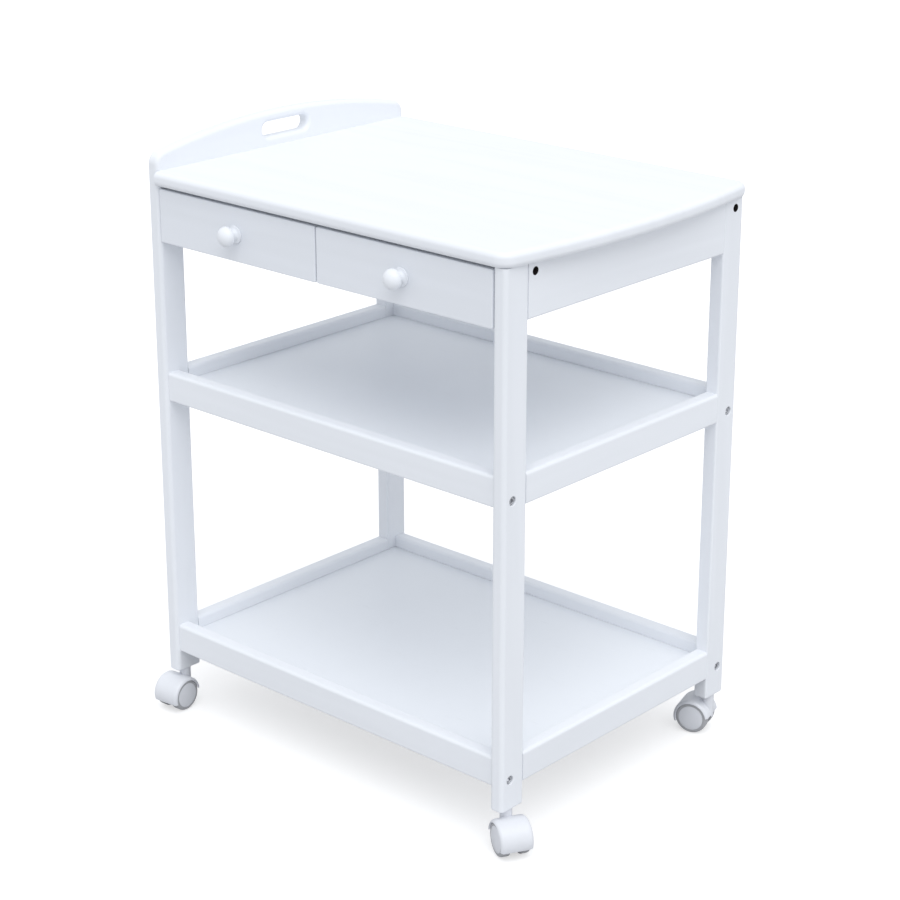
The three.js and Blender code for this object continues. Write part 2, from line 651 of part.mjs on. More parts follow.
/** The hood over both wheels, the web between them, the boss and the swivel stem, moulded in one. */
function castorHousing() {
  const inner = WHEEL_RADIUS + HOOD_GAP;
  const outer = inner + HOOD_THICKNESS;
  const hood = acrossCastor(
    [...axleArc(outer, HOOD_START, HOOD_END, 16), ...axleArc(inner, HOOD_END, HOOD_START, 16)],
    HOOD_HALF_WIDTH,
  );
  const overlap = HOOD_THICKNESS / 2;
  const web = acrossCastor(
    [...axleArc(inner + overlap, HOOD_START, HOOD_END, 16), ...axleArc(HUB_RADIUS, HUB_START, HUB_END, 5)],
    WEB_HALF_WIDTH,
  );
  const bossTop = CASTOR_HEIGHT - LEG_CLEARANCE;
  const boss = uprightCylinder(BOSS_RADIUS, 0, 0, BOSS_BOTTOM, bossTop, 20);
  const stem = uprightCylinder(STEM_RADIUS, 0, 0, bossTop - 1, CASTOR_HEIGHT + STEM_LENGTH, 16);
  const wheelRoom = crosswiseCylinder(inner, CASTOR_TRAIL, WHEEL_RADIUS, HOOD_HALF_WIDTH, 32);
  const webRoom = crosswiseCylinder(inner + 1, CASTOR_TRAIL, WHEEL_RADIUS, WEB_HALF_WIDTH, 32);
  const clearOfWheels = subtract(wheelRoom, webRoom);
  const bore = crosswiseCylinder(AXLE_RADIUS + SEAT_GAP, CASTOR_TRAIL, WHEEL_RADIUS, 2 * WEB_HALF_WIDTH, 12);
  return { hood, web, boss, stem, clearOfWheels, bore };
}

/** The housing's solid, with the boss trimmed clear of the wheels and the axle's bore drilled. */
function castorHousingSolid() {
  const { hood, web, boss, stem, clearOfWheels, bore } = castorHousing();
  return subtract(join(hood, web, subtract(boss, clearOfWheels), stem), bore);
}

/** A wheel turned about Y from its inner face, its edges rounded, with a blind bore for the axle. */
function castorWheel() {
  const bore = AXLE_RADIUS + SEAT_GAP;
  const boreEnd = AXLE_HALF_LENGTH + SEAT_GAP - WHEEL_INNER_FACE;
  const profile = [
    [0, boreEnd], [bore, boreEnd], [bore, 0],
    [WHEEL_RADIUS - WHEEL_INNER_ROUND, 0], [WHEEL_RADIUS, WHEEL_INNER_ROUND],
  ];
  const edgeSteps = 3;
  for (let step = 0; step <= edgeSteps; step += 1) {
    const angle = (Math.PI / 2) * (step / edgeSteps);
    profile.push([
      WHEEL_RADIUS - WHEEL_OUTER_ROUND * (1 - Math.cos(angle)),
      WHEEL_WIDTH - WHEEL_OUTER_ROUND * (1 - Math.sin(angle)),
    ]);
  }
  profile.push([0, WHEEL_WIDTH]);
  return new THREE.LatheGeometry(profile.map(([radius, y]) => new THREE.Vector2(radius, y)), 20);
}

/** A castor in its leg, turned to its heading about the stem. */
function castor(name, corner) {
  const group = new THREE.Group();
  const axle = crosswiseCylinder(AXLE_RADIUS, 0, 0, AXLE_HALF_LENGTH, 12);
  const leftWheel = part(
    `castor_${name}_wheel_left`, castorWheel(), CASTOR_PLASTIC, CASTOR_TRAIL, WHEEL_INNER_FACE, WHEEL_RADIUS,
  );
  const rightWheel = part(
    `castor_${name}_wheel_right`, castorWheel(), CASTOR_PLASTIC,
    CASTOR_TRAIL, -WHEEL_INNER_FACE, WHEEL_RADIUS,
  );
  rightWheel.rotation.x = Math.PI;
  group.add(
    part(`castor_${name}_housing`, castorHousingSolid(), CASTOR_PLASTIC),
    part(`castor_${name}_axle`, axle, STEEL, CASTOR_TRAIL, 0, WHEEL_RADIUS),
    leftWheel,
    rightWheel,
  );
  group.position.set(corner.x * LEG_CENTRE_X, corner.y * LEG_CENTRE_Y, 0);
  group.rotation.z = THREE.MathUtils.degToRad(CASTOR_HEADINGS[name]);
  return group;
}

// ---------- The whole table ----------

function changingTable() {
  const table = new THREE.Group();
  table.add(legs(), bolts(), tableTop(), headboard(), aprons());
  table.add(tray('tray_low', LOW_TRAY_TOP), tray('tray_middle', MIDDLE_TRAY_TOP));
  table.add(drawerDivider(), battens(), drawer('drawer_head', -1), drawer('drawer_foot', 1));
  for (const [name, corner] of Object.entries(CORNERS)) {
    table.add(castor(name, corner));
  }
  return table;
}

/** Stands the table with the middle of its footprint over the origin, to the nearest quarter millimetre. */
function centred(table) {
  const centre = new THREE.Box3().setFromObject(table).getCenter(new THREE.Vector3());
  table.position.set(-Math.round(4 * centre.x) / 4, -Math.round(4 * centre.y) / 4, 0);
  return table;
}

const group = new THREE.Group();
group.add(centred(changingTable()));

export default group;
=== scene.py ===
"""A white painted changing table on castors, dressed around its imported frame.

Four plank legs on twin-wheel castors carry a round-edged top with a bowed foot end, an arched headboard with a
hand slot, two drawers side by side and two trays. Lengths are in metres and +Z is up. The drawers open towards
-Y and the headboard stands at the -X end.
"""

import logging
import math
from collections.abc import Callable, Iterable, Sequence
from dataclasses import dataclass
from enum import Enum
from functools import cache

import bmesh
import bpy
from mathutils import Matrix, Vector


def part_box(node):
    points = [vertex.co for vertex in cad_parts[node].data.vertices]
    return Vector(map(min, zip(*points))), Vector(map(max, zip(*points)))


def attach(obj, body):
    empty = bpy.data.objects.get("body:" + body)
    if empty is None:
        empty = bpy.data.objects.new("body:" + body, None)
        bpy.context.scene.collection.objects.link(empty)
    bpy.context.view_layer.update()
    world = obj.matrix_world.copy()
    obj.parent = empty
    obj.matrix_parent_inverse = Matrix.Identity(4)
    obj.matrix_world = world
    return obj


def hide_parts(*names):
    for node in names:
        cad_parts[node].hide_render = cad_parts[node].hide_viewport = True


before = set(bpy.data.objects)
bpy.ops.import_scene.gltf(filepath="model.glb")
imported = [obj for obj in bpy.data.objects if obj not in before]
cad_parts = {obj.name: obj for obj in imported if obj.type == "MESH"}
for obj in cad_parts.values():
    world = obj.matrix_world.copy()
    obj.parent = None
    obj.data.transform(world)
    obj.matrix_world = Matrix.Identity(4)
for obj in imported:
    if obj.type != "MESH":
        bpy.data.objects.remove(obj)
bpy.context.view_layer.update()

log = logging.getLogger("changing_table")

SPARE = 0.004
SHARP_ANGLE = math.radians(32)

Point = tuple[float, float]
Ring = list[Point]
Level = tuple[float, float]


# ---------- Named choices ----------


class Run(Enum):
    """The direction in which a length of timber, and its grain, runs."""

    X = (1, 2, 0)
    Y = (0, 2, 1)
    Z = (0, 1, 2)

    def at(self, u: float, v: float, w: float) -> Vector:
        """A point from its place in the section (u, v) and along the run (w)."""
        point = Vector((0.0, 0.0, 0.0))
        for axis, value in zip(self.value, (u, v, w)):
            point[axis] = value
        return point

    def stretch(self, along: float) -> tuple[float, float, float]:
        """Pattern scales: `along` on the run's own axis and 1 across it."""
        return tuple(along if axis == self.value[2] else 1.0 for axis in range(3))


class Corner(Enum):
    """A leg's corner of the table, as the signs of its X and Y."""

    FRONT_FOOT = (1, -1)
    FRONT_HEAD = (-1, -1)
    BACK_FOOT = (1, 1)
    BACK_HEAD = (-1, 1)

    @property
    def label(self) -> str:
        """The corner's part of a node's name."""
        return self.name.lower()

    @property
    def outward(self) -> Vector:
        """The direction of the leg's outer end face, along X."""
        return Vector((self.value[0], 0.0, 0.0))


class Side(Enum):
    """A face of a rail, or a wheel of a castor."""

    LOW = -1
    HIGH = 1


class Slot(Enum):
    """The record's material slots."""

    PAINTED_WOOD = "painted_wood"
    DRAWER_PAINT = "drawer_paint"
    CASTOR_PLASTIC = "castor_plastic"
    ZINC_STEEL = "zinc_steel"


class Carving(Enum):
    """How a tool changes the solid it meets."""

    CUT = "DIFFERENCE"
    WELD = "UNION"


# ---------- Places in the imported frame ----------


@cache
def node_box(node: str) -> tuple[Vector, Vector]:
    """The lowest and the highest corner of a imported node."""
    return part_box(node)


def middle(node: str) -> Vector:
    """The middle of a node's box."""
    low, high = node_box(node)
    return (low + high) / 2


# ---------- Outlines ----------


def arc(centre: Point, radius: float, start: float, end: float, steps: int) -> Ring:
    """Points along an arc, both ends included.

    Args:
        centre: The arc's centre.
        radius: Its radius.
        start: The first point's angle, in radians.
        end: The last point's angle, in radians.
        steps: How many equal segments lie between them.

    Returns:
        The steps + 1 points, in order.
    """
    angles = [start + (end - start) * step / steps for step in range(steps + 1)]
    return [(centre[0] + radius * math.cos(a), centre[1] + radius * math.sin(a)) for a in angles]


def levels(low: float, high: float, radius: float, steps: int = 6, middle: int = 1) -> list[Level]:
    """Places along a prism, with the inset of its outline there, that round both of its ends over.

    Args:
        low: Where the prism starts.
        high: Where it ends.
        radius: The radius of both ends' edges; 0 leaves them square.
        steps: Segments in each rounded edge.
        middle: Segments in the straight stretch between them.

    Returns:
        Pairs of place and inset, from low to high.
    """
    if radius == 0:
        return [(low + (high - low) * step / middle, 0.0) for step in range(middle + 1)]
    quarter = [math.pi / 2 * step / steps for step in range(steps + 1)]
    start = [(radius * (1 - math.cos(a)), radius * (1 - math.sin(a))) for a in quarter]
    straight = high - low - 2 * radius
    between = [(low + radius + straight * step / middle, 0.0) for step in range(1, middle)]
    finish = [(high - place, inset) for place, inset in reversed(start)]
    return [(low + place, inset) for place, inset in start] + between + finish


@dataclass(frozen=True)
class Section:
    """A rectangle with its own radius at each corner.

    Attributes:
        low: The corner with the smallest coordinates.
        high: The opposite corner.
        radii: The corners' radii, counter-clockwise from the low one; 0 keeps a corner square.
        steps: Segments in each rounded corner.
    """

    low: Point
    high: Point
    radii: tuple[float, float, float, float]
    steps: int = 8

    def corners(self, inset: float = 0.0) -> list[Ring]:
        """The points of each corner in turn.

        Args:
            inset: How far the whole outline is drawn in.

        Returns:
            Four lists of points, counter-clockwise from the low corner.
        """
        places = zip((self.low[0], self.high[0]) * 2, (self.low[1],) * 2 + (self.high[1],) * 2)
        (west, south), (east, _), (_, north), _ = places
        spots = ((west, south, 1, 1), (east, south, -1, 1), (east, north, -1, -1), (west, north, 1, -1))
        found = []
        for quarter, ((u, v, inward_u, inward_v), radius) in enumerate(zip(spots, self.radii)):
            reach = max(radius, inset)
            centre = (u + inward_u * reach, v + inward_v * reach)
            start = math.pi * (1 + quarter / 2)
            if radius > inset:
                found.append(arc(centre, radius - inset, start, start + math.pi / 2, self.steps))
            else:
                found.append([centre])
        return found

    def ring(self, inset: float = 0.0) -> Ring:
        """The whole outline, drawn in by an inset."""
        return [point for corner in self.corners(inset) for point in corner]


# ---------- Solids ----------


def facing(origin: Vector, outward: Vector) -> Matrix:
    """A frame at the origin given, whose Z axis points outward."""
    return Matrix.Translation(origin) @ outward.to_track_quat("Z", "Y").to_matrix().to_4x4()


class Solid:
    """Closed surfaces gathered in one mesh."""

    def __init__(self) -> None:
        """Starts with nothing in it."""
        self.surface = bmesh.new()

    def loft(self, rings: Iterable[Iterable[Vector]]) -> "Solid":
        """Joins rings of equally many points, one after another, and closes both ends.

        Args:
            rings: The rings, each a closed loop of points.

        Returns:
            This solid.
        """
        rows = [[self.surface.verts.new(point) for point in ring] for ring in rings]
        for near, far in zip(rows, rows[1:]):
            for index, corner in enumerate(near):
                after = (index + 1) % len(near)
                self.surface.faces.new((corner, near[after], far[after], far[index]))
        self.surface.faces.new(rows[0][::-1])
        self.surface.faces.new(rows[-1])
        return self

    def prism(self, run: Run, outline: Callable[[float], Ring], places: Iterable[Level]) -> "Solid":
        """Draws an outline along a run.

        Args:
            run: The direction it is drawn in.
            outline: Gives the section's points for an inset.
            places: The places along the run, each with its inset.

        Returns:
            This solid.
        """
        return self.loft([[run.at(u, v, w) for u, v in outline(inset)] for w, inset in places])

    def turn(
        self, profile: Sequence[Point], place: Matrix, segments: int = 64,
        waist: Callable[[int, float], float] | None = None,
    ) -> "Solid":
        """Turns a profile about the Z axis of a frame.

        Args:
            profile: Pairs of radius and height, starting and ending on the axis.
            place: The frame that the turned piece stands in.
            segments: How many sides the turned piece has.
            waist: Gives a profile point's share of its radius at an angle, for a socket that isn't round.

        Returns:
            This solid.
        """
        rows = []
        for index, (radius, height) in enumerate(profile):
            if radius == 0:
                rows.append([self.surface.verts.new(place @ Vector((0, 0, height)))] * segments)
                continue
            row = []
            for side in range(segments):
                angle = 2 * math.pi * side / segments
                reach = radius * (waist(index, angle) if waist else 1.0)
                spot = Vector((reach * math.cos(angle), reach * math.sin(angle), height))
                row.append(self.surface.verts.new(place @ spot))
            rows.append(row)
        for near, far in zip(rows, rows[1:]):
            for side in range(segments):
                after = (side + 1) % segments
                loop = dict.fromkeys((near[side], near[after], far[after], far[side]))
                self.surface.faces.new(tuple(loop))
        return self

    def made(self, name: str) -> bpy.types.Object:
        """Turns what was gathered into an object of that name, its faces pointing out."""
        bmesh.ops.recalc_face_normals(self.surface, faces=self.surface.faces)
        mesh = bpy.data.meshes.new(name)
        self.surface.to_mesh(mesh)
        self.surface.free()
        made = bpy.data.objects.new(name, mesh)
        bpy.context.scene.collection.objects.link(made)
        return made


def evaluated_copy(source: bpy.types.Object) -> bpy.types.Mesh:
    """The object's mesh with its modifiers applied, as a mesh of its own."""
    graph = bpy.context.evaluated_depsgraph_get()
    return bpy.data.meshes.new_from_object(source.evaluated_get(graph), depsgraph=graph)


def carve(body: bpy.types.Object, how: Carving, *tools: bpy.types.Object) -> bpy.types.Object:
    """Cuts tools out of a body, or welds them on, and throws the tools away.

    Args:
        body: The object that is changed.
        how: Whether the tools cut or weld.
        tools: The objects it is done with.

    Returns:
        The body.
    """
    for tool in tools:
        modifier = body.modifiers.new(how.name, "BOOLEAN")
        modifier.operation = how.value
        modifier.solver = "EXACT"
        modifier.object = tool
    before = body.data
    body.data = evaluated_copy(body)
    body.modifiers.clear()
    bpy.data.meshes.remove(before)
    for tool in tools:
        bpy.data.objects.remove(tool)
    return body


def smooth(body: bpy.types.Object) -> bpy.types.Object:
    """Shades an object's curves smooth and its corners and flat faces crisp, and returns it."""
    surface = bmesh.new()
    surface.from_mesh(body.data)
    bmesh.ops.remove_doubles(surface, verts=surface.verts, dist=1e-6)
    bmesh.ops.dissolve_degenerate(surface, edges=surface.edges, dist=1e-7)
    for face in surface.faces:
        face.smooth = True
    for edge in surface.edges:
        edge.smooth = len(edge.link_faces) == 2 and edge.calc_face_angle() < SHARP_ANGLE
    surface.to_mesh(body.data)
    surface.free()
    weighting = body.modifiers.new("Even shading", "WEIGHTED_NORMAL")
    weighting.keep_sharp = True
    weighting.weight = 100
    return body


# ---------- Shader nodes ----------


class NodeSheet:
    """Adds and links the nodes of one tree."""

    def __init__(self, tree: bpy.types.NodeTree) -> None:
        """Works on the tree given."""
        self.tree = tree

    def add(self, kind: str, values: dict | None = None, **settings: object) -> bpy.types.Node:
        """Adds a node.

        Args:
            kind: The node's type.
            values: What its inputs get, by name or number: a value, or a socket to link.
            settings: The node's own properties.

        Returns:
            The new node.
        """
        node = self.tree.nodes.new(kind)
        for name, setting in settings.items():
            setattr(node, name, setting)
        for name, value in (values or {}).items():
            if isinstance(value, bpy.types.NodeSocket):
                self.tree.links.new(value, node.inputs[name])
            else:
                node.inputs[name].default_value = value
        return node

    def sum(self, operation: str, first: object, second: object = 0.0, clamp: bool = False) -> bpy.types.NodeSocket:
        """The result of a Math node."""
        node = self.add("ShaderNodeMath", {0: first, 1: second}, operation=operation, use_clamp=clamp)
        return node.outputs[0]

    def blend(self, amount: object, under: object, over: object) -> bpy.types.NodeSocket:
        """A colour between two others, by an amount from 0 to 1."""
        values = {"Factor": amount, 6: under, 7: over}
        return self.add("ShaderNodeMix", values, data_type="RGBA").outputs[2]

    def ramp(self, value: object, low: float, high: float, to_low: float, to_high: float) -> bpy.types.NodeSocket:
        """A value carried from one range to another and kept inside it."""
        values = {"Value": value, "From Min": low, "From Max": high, "To Min": to_low, "To Max": to_high}
        return self.add("ShaderNodeMapRange", values, clamp=True).outputs[0]

    def noise(
        self, place: object, scale: object, detail: float, rough: float = 0.5, bend: float = 0.0,
    ) -> bpy.types.NodeSocket:
        """The grey value of a Noise texture."""
        values = {"Vector": place, "Scale": scale, "Detail": detail, "Roughness": rough, "Distortion": bend}
        return self.add("ShaderNodeTexNoise", values).outputs["Fac"]

    def bump(
        self, height: object, distance: float, strength: float, under: object = None,
    ) -> bpy.types.NodeSocket:
        """The normal of a Bump node, laid over another normal if one is given."""
        values = {"Height": height, "Distance": distance, "Strength": strength}
        if under is not None:
            values["Normal"] = under
        return self.add("ShaderNodeBump", values).outputs["Normal"]


@dataclass(frozen=True)
class GroupPort:
    """A socket of a shader group: its name, kind and, on an input, first value."""

    name: str
    kind: str = "NodeSocketFloat"
    value: float | None = None


def new_group(name: str, inputs: Sequence[GroupPort], outputs: Sequence[GroupPort]) -> tuple:
    """Starts a shader node group.

    Args:
        name: The group's name.
        inputs: Its input sockets.
        outputs: Its output sockets.

    Returns:
        The group's sheet, its input node and its output node.
    """
    tree = bpy.data.node_groups.new(name, "ShaderNodeTree")
    for port in inputs:
        socket = tree.interface.new_socket(port.name, in_out="INPUT", socket_type=port.kind)
        if port.value is not None:
            socket.default_value = port.value
    for port in outputs:
        tree.interface.new_socket(port.name, in_out="OUTPUT", socket_type=port.kind)
    sheet = NodeSheet(tree)
    return sheet, sheet.add("NodeGroupInput"), sheet.add("NodeGroupOutput")


@cache
def timber_group() -> bpy.types.NodeTree:
    """Growth rings and fibres that show faintly through paint, on coordinates stretched along the grain."""
    sheet, given, result = new_group(
        "Timber under paint",
        [GroupPort("Vector", "NodeSocketVector"), GroupPort("Ring Scale", value=14.0), GroupPort("Rings", value=26.0)],
        [GroupPort("Tone"), GroupPort("Height")],
    )
    place, scale = given.outputs["Vector"], given.outputs["Ring Scale"]
    growth = sheet.noise(place, scale, 2.0, 0.45, 0.4)
    rings = sheet.sum("SINE", sheet.sum("MULTIPLY", growth, given.outputs["Rings"]))
    rings = sheet.ramp(rings, -1.0, 1.0, 0.0, 1.0)
    fibres = sheet.noise(place, sheet.sum("MULTIPLY", scale, 32.0), 4.0, 0.62)
    height = sheet.sum("ADD", sheet.sum("MULTIPLY", rings, 0.45), sheet.sum("MULTIPLY", fibres, 0.55))
    tone = sheet.sum("ADD", sheet.sum("MULTIPLY", growth, 0.6), sheet.sum("MULTIPLY", rings, 0.4), clamp=True)
    sheet.tree.links.new(tone, result.inputs["Tone"])
    sheet.tree.links.new(height, result.inputs["Height"])
    return sheet.tree


@cache
def skin_group() -> bpy.types.NodeTree:
    """The fine ripple of a sprayed or moulded skin, and the slow drift of its gloss."""
    sheet, given, result = new_group(
        "Sprayed skin",
        [GroupPort("Vector", "NodeSocketVector"), GroupPort("Ripple Scale", value=420.0)],
        [GroupPort("Height"), GroupPort("Drift")],
    )
    place = given.outputs["Vector"]
    ripple = sheet.noise(place, given.outputs["Ripple Scale"], 2.0, 0.55)
    drift = sheet.noise(place, 9.0, 3.0, 0.5)
    sheet.tree.links.new(ripple, result.inputs["Height"])
    sheet.tree.links.new(sheet.ramp(drift, 0.3, 0.7, 0.0, 1.0), result.inputs["Drift"])
    return sheet.tree


@cache
def wear_group() -> bpy.types.NodeTree:
    """Where a rounded edge has been rubbed: where the normal drifts away from that of a rounder edge."""
    sheet, given, result = new_group(
        "Edge wear",
        [GroupPort("Vector", "NodeSocketVector"), GroupPort("Amount", value=0.5), GroupPort("Reach", value=0.0015)],
        [GroupPort("Mask")],
    )
    normal = sheet.add("ShaderNodeNewGeometry").outputs["Normal"]
    rounder = sheet.add("ShaderNodeBevel", {"Radius": given.outputs["Reach"]}, samples=4).outputs[0]
    likeness = sheet.add("ShaderNodeVectorMath", {0: normal, 1: rounder}, operation="DOT_PRODUCT").outputs["Value"]
    edge = sheet.ramp(likeness, 0.90, 0.995, 1.0, 0.0)
    patches = sheet.ramp(sheet.noise(given.outputs["Vector"], 46.0, 5.0, 0.62), 0.42, 0.66, 0.0, 1.0)
    worn = sheet.sum("MULTIPLY", sheet.sum("MULTIPLY", edge, patches), given.outputs["Amount"])
    sheet.tree.links.new(worn, result.inputs["Mask"])
    return sheet.tree


@cache
def dust_group() -> bpy.types.NodeTree:
    """A thin film of dust on faces that look up."""
    sheet, given, result = new_group(
        "Settled dust",
        [GroupPort("Vector", "NodeSocketVector"), GroupPort("Amount", value=0.2)],
        [GroupPort("Mask")],
    )
    normal = sheet.add("ShaderNodeNewGeometry").outputs["Normal"]
    upward = sheet.add("ShaderNodeSeparateXYZ", {"Vector": normal}).outputs["Z"]
    upward = sheet.ramp(upward, 0.35, 1.0, 0.0, 1.0)
    cloud = sheet.ramp(sheet.noise(given.outputs["Vector"], 22.0, 6.0, 0.6), 0.35, 0.75, 0.0, 1.0)
    film = sheet.sum("MULTIPLY", sheet.sum("MULTIPLY", upward, cloud), given.outputs["Amount"])
    sheet.tree.links.new(film, result.inputs["Mask"])
    return sheet.tree


def new_material(name: str) -> tuple[bpy.types.Material, NodeSheet, bpy.types.NodeSocket]:
    """Starts a node material.

    Args:
        name: The material's name.

    Returns:
        The material, the sheet of its nodes, and the Object coordinates.
    """
    material = bpy.data.materials.new(name)
    material.use_nodes = True
    material.node_tree.nodes.clear()
    sheet = NodeSheet(material.node_tree)
    return material, sheet, sheet.add("ShaderNodeTexCoord").outputs["Object"]


def group_node(sheet: NodeSheet, tree: bpy.types.NodeTree, values: dict) -> bpy.types.Node:
    """Places a shader group in a material and sets its inputs."""
    node = sheet.add("ShaderNodeGroup", node_tree=tree)
    for name, value in values.items():
        if isinstance(value, bpy.types.NodeSocket):
            sheet.tree.links.new(value, node.inputs[name])
        else:
            node.inputs[name].default_value = value
    return node


def close_material(sheet: NodeSheet, values: dict) -> None:
    """Ends a material in a Principled BSDF with the inputs given."""
    shader = sheet.add("ShaderNodeBsdfPrincipled", values)
    sheet.add("ShaderNodeOutputMaterial", {"Surface": shader.outputs["BSDF"]})


# ---------- Finishes ----------


@dataclass(frozen=True)
class PaintedTimber:
    """White satin paint over softwood, its grain just showing.

    Attributes:
        label: The start of the material's name.
        colour: The paint's colour.
        hollow_colour: Its colour where the film lies thin over a growth ring.
        worn_colour: Its colour on rubbed edges.
        dust_colour: The colour of settled dust.
        gloss: The lowest roughness.
        relief: The height of the grain under the paint.
        wear: How much the edges are rubbed.
        dust: How much dust lies on top.
    """

    label: str = "painted_timber"
    colour: tuple = (0.85, 0.872, 0.915, 1.0)
    hollow_colour: tuple = (0.81, 0.832, 0.872, 1.0)
    worn_colour: tuple = (0.72, 0.71, 0.69, 1.0)
    dust_colour: tuple = (0.66, 0.65, 0.63, 1.0)
    gloss: float = 0.36
    relief: float = 0.00018
    wear: float = 0.3
    dust: float = 0.03

    def made(self, run: Run) -> bpy.types.Material:
        """The material with its grain along a run.

        Args:
            run: The direction of the grain.

        Returns:
            The material.
        """
        material, sheet, place = new_material(f"{self.label}_{run.name.lower()}")
        along = sheet.add("ShaderNodeMapping", {"Vector": place, "Scale": run.stretch(0.07)}).outputs[0]
        timber = group_node(sheet, timber_group(), {"Vector": along})
        skin = group_node(sheet, skin_group(), {"Vector": place})
        wear = group_node(sheet, wear_group(), {"Vector": place, "Amount": self.wear})
        dust = group_node(sheet, dust_group(), {"Vector": place, "Amount": self.dust})
        colour = sheet.blend(timber.outputs["Tone"], self.colour, self.hollow_colour)
        colour = sheet.blend(wear.outputs["Mask"], colour, self.worn_colour)
        colour = sheet.blend(dust.outputs["Mask"], colour, self.dust_colour)
        rough = sheet.ramp(skin.outputs["Drift"], 0.0, 1.0, self.gloss, self.gloss + 0.09)
        rough = sheet.sum("ADD", rough, sheet.sum("MULTIPLY", dust.outputs["Mask"], 0.6))
        normal = sheet.bump(timber.outputs["Height"], self.relief, 0.35)
        normal = sheet.bump(skin.outputs["Height"], 0.00006, 0.3, normal)
        close_material(sheet, {"Base Color": colour, "Roughness": rough, "Normal": normal, "Specular IOR Level": 0.42})
        return material


@dataclass(frozen=True)
class PaintedPanel:
    """The trays' sheet floors: a flatter, rollered coat with faint scuffs from what was set down on it.

    Attributes:
        colour: The paint's colour.
        scuff_colour: The colour of the scuffs.
        gloss: The lowest roughness.
        dust: How much dust lies on top.
    """

    colour: tuple = (0.835, 0.86, 0.90, 1.0)
    scuff_colour: tuple = (0.74, 0.755, 0.785, 1.0)
    gloss: float = 0.42
    dust: float = 0.05

    def made(self) -> bpy.types.Material:
        """The material."""
        material, sheet, place = new_material("painted_panel")
        skin = group_node(sheet, skin_group(), {"Vector": place, "Ripple Scale": 260.0})
        dust = group_node(sheet, dust_group(), {"Vector": place, "Amount": self.dust})
        streaks = sheet.add("ShaderNodeMapping", {"Vector": place, "Scale": (1.0, 5.0, 1.0)}).outputs[0]
        scuffs = sheet.ramp(sheet.noise(streaks, 28.0, 8.0, 0.7, 1.2), 0.60, 0.76, 0.0, 0.5)
        colour = sheet.blend(scuffs, self.colour, self.scuff_colour)
        colour = sheet.blend(dust.outputs["Mask"], colour, self.scuff_colour)
        rough = sheet.ramp(skin.outputs["Drift"], 0.0, 1.0, self.gloss, self.gloss + 0.1)
        normal = sheet.bump(skin.outputs["Height"], 0.00009, 0.3)
        close_material(sheet, {"Base Color": colour, "Roughness": rough, "Normal": normal, "Specular IOR Level": 0.4})
        return material


@dataclass(frozen=True)
class MouldedPlastic:
    """White nylon, moulded smooth, greyed on its edges by use.

    Attributes:
        label: The material's name.
        colour: The plastic's colour.
        flow_colour: The colour of the moulding's flow marks.
        scuff_colour: The colour of its rubbed edges.
        gloss: The lowest roughness.
        wear: How much the edges are rubbed.
        dust: How much dust lies on top.
    """

    label: str = "moulded_plastic"
    colour: tuple = (0.76, 0.775, 0.82, 1.0)
    flow_colour: tuple = (0.73, 0.745, 0.785, 1.0)
    scuff_colour: tuple = (0.40, 0.40, 0.42, 1.0)
    gloss: float = 0.3
    wear: float = 0.4
    dust: float = 0.08

    def made(self) -> bpy.types.Material:
        """The material."""
        material, sheet, place = new_material(self.label)
        skin = group_node(sheet, skin_group(), {"Vector": place, "Ripple Scale": 900.0})
        wear = group_node(sheet, wear_group(), {"Vector": place, "Amount": self.wear})
        dust = group_node(sheet, dust_group(), {"Vector": place, "Amount": self.dust})
        colour = sheet.blend(sheet.noise(place, 60.0, 3.0, 0.5, 1.5), self.colour, self.flow_colour)
        colour = sheet.blend(wear.outputs["Mask"], colour, self.scuff_colour)
        colour = sheet.blend(dust.outputs["Mask"], colour, self.scuff_colour)
        rough = sheet.ramp(skin.outputs["Drift"], 0.0, 1.0, self.gloss, self.gloss + 0.12)
        rough = sheet.sum("ADD", rough, sheet.sum("MULTIPLY", wear.outputs["Mask"], 0.3))
        normal = sheet.bump(skin.outputs["Height"], 0.00003, 0.3)
        close_material(sheet, {"Base Color": colour, "Roughness": rough, "Normal": normal})
        return material


@dataclass(frozen=True)
class ZincSteel:
    """Bright zinc-plated steel with fine turning marks.

    Attributes:
        colour: The plating's colour.
        dull_colour: Its colour where it has dulled.
        gloss: The lowest roughness.
    """

    colour: tuple = (0.62, 0.63, 0.66, 1.0)
    dull_colour: tuple = (0.38, 0.385, 0.40, 1.0)
    gloss: float = 0.24

    def made(self) -> bpy.types.Material:
        """The material."""
        material, sheet, place = new_material("zinc_steel")
        stains = sheet.ramp(sheet.noise(place, 520.0, 4.0, 0.6), 0.4, 0.7, 0.0, 1.0)
        marks = sheet.add("ShaderNodeMapping", {"Vector": place, "Scale": (6.0, 1.0, 1.0)}).outputs[0]
        marks = sheet.noise(marks, 2400.0, 2.0, 0.5)
        colour = sheet.blend(stains, self.colour, self.dull_colour)
        rough = sheet.ramp(stains, 0.0, 1.0, self.gloss, self.gloss + 0.22)
        normal = sheet.bump(marks, 0.00002, 0.3)
        close_material(sheet, {"Base Color": colour, "Metallic": 1.0, "Roughness": rough, "Normal": normal})
        return material


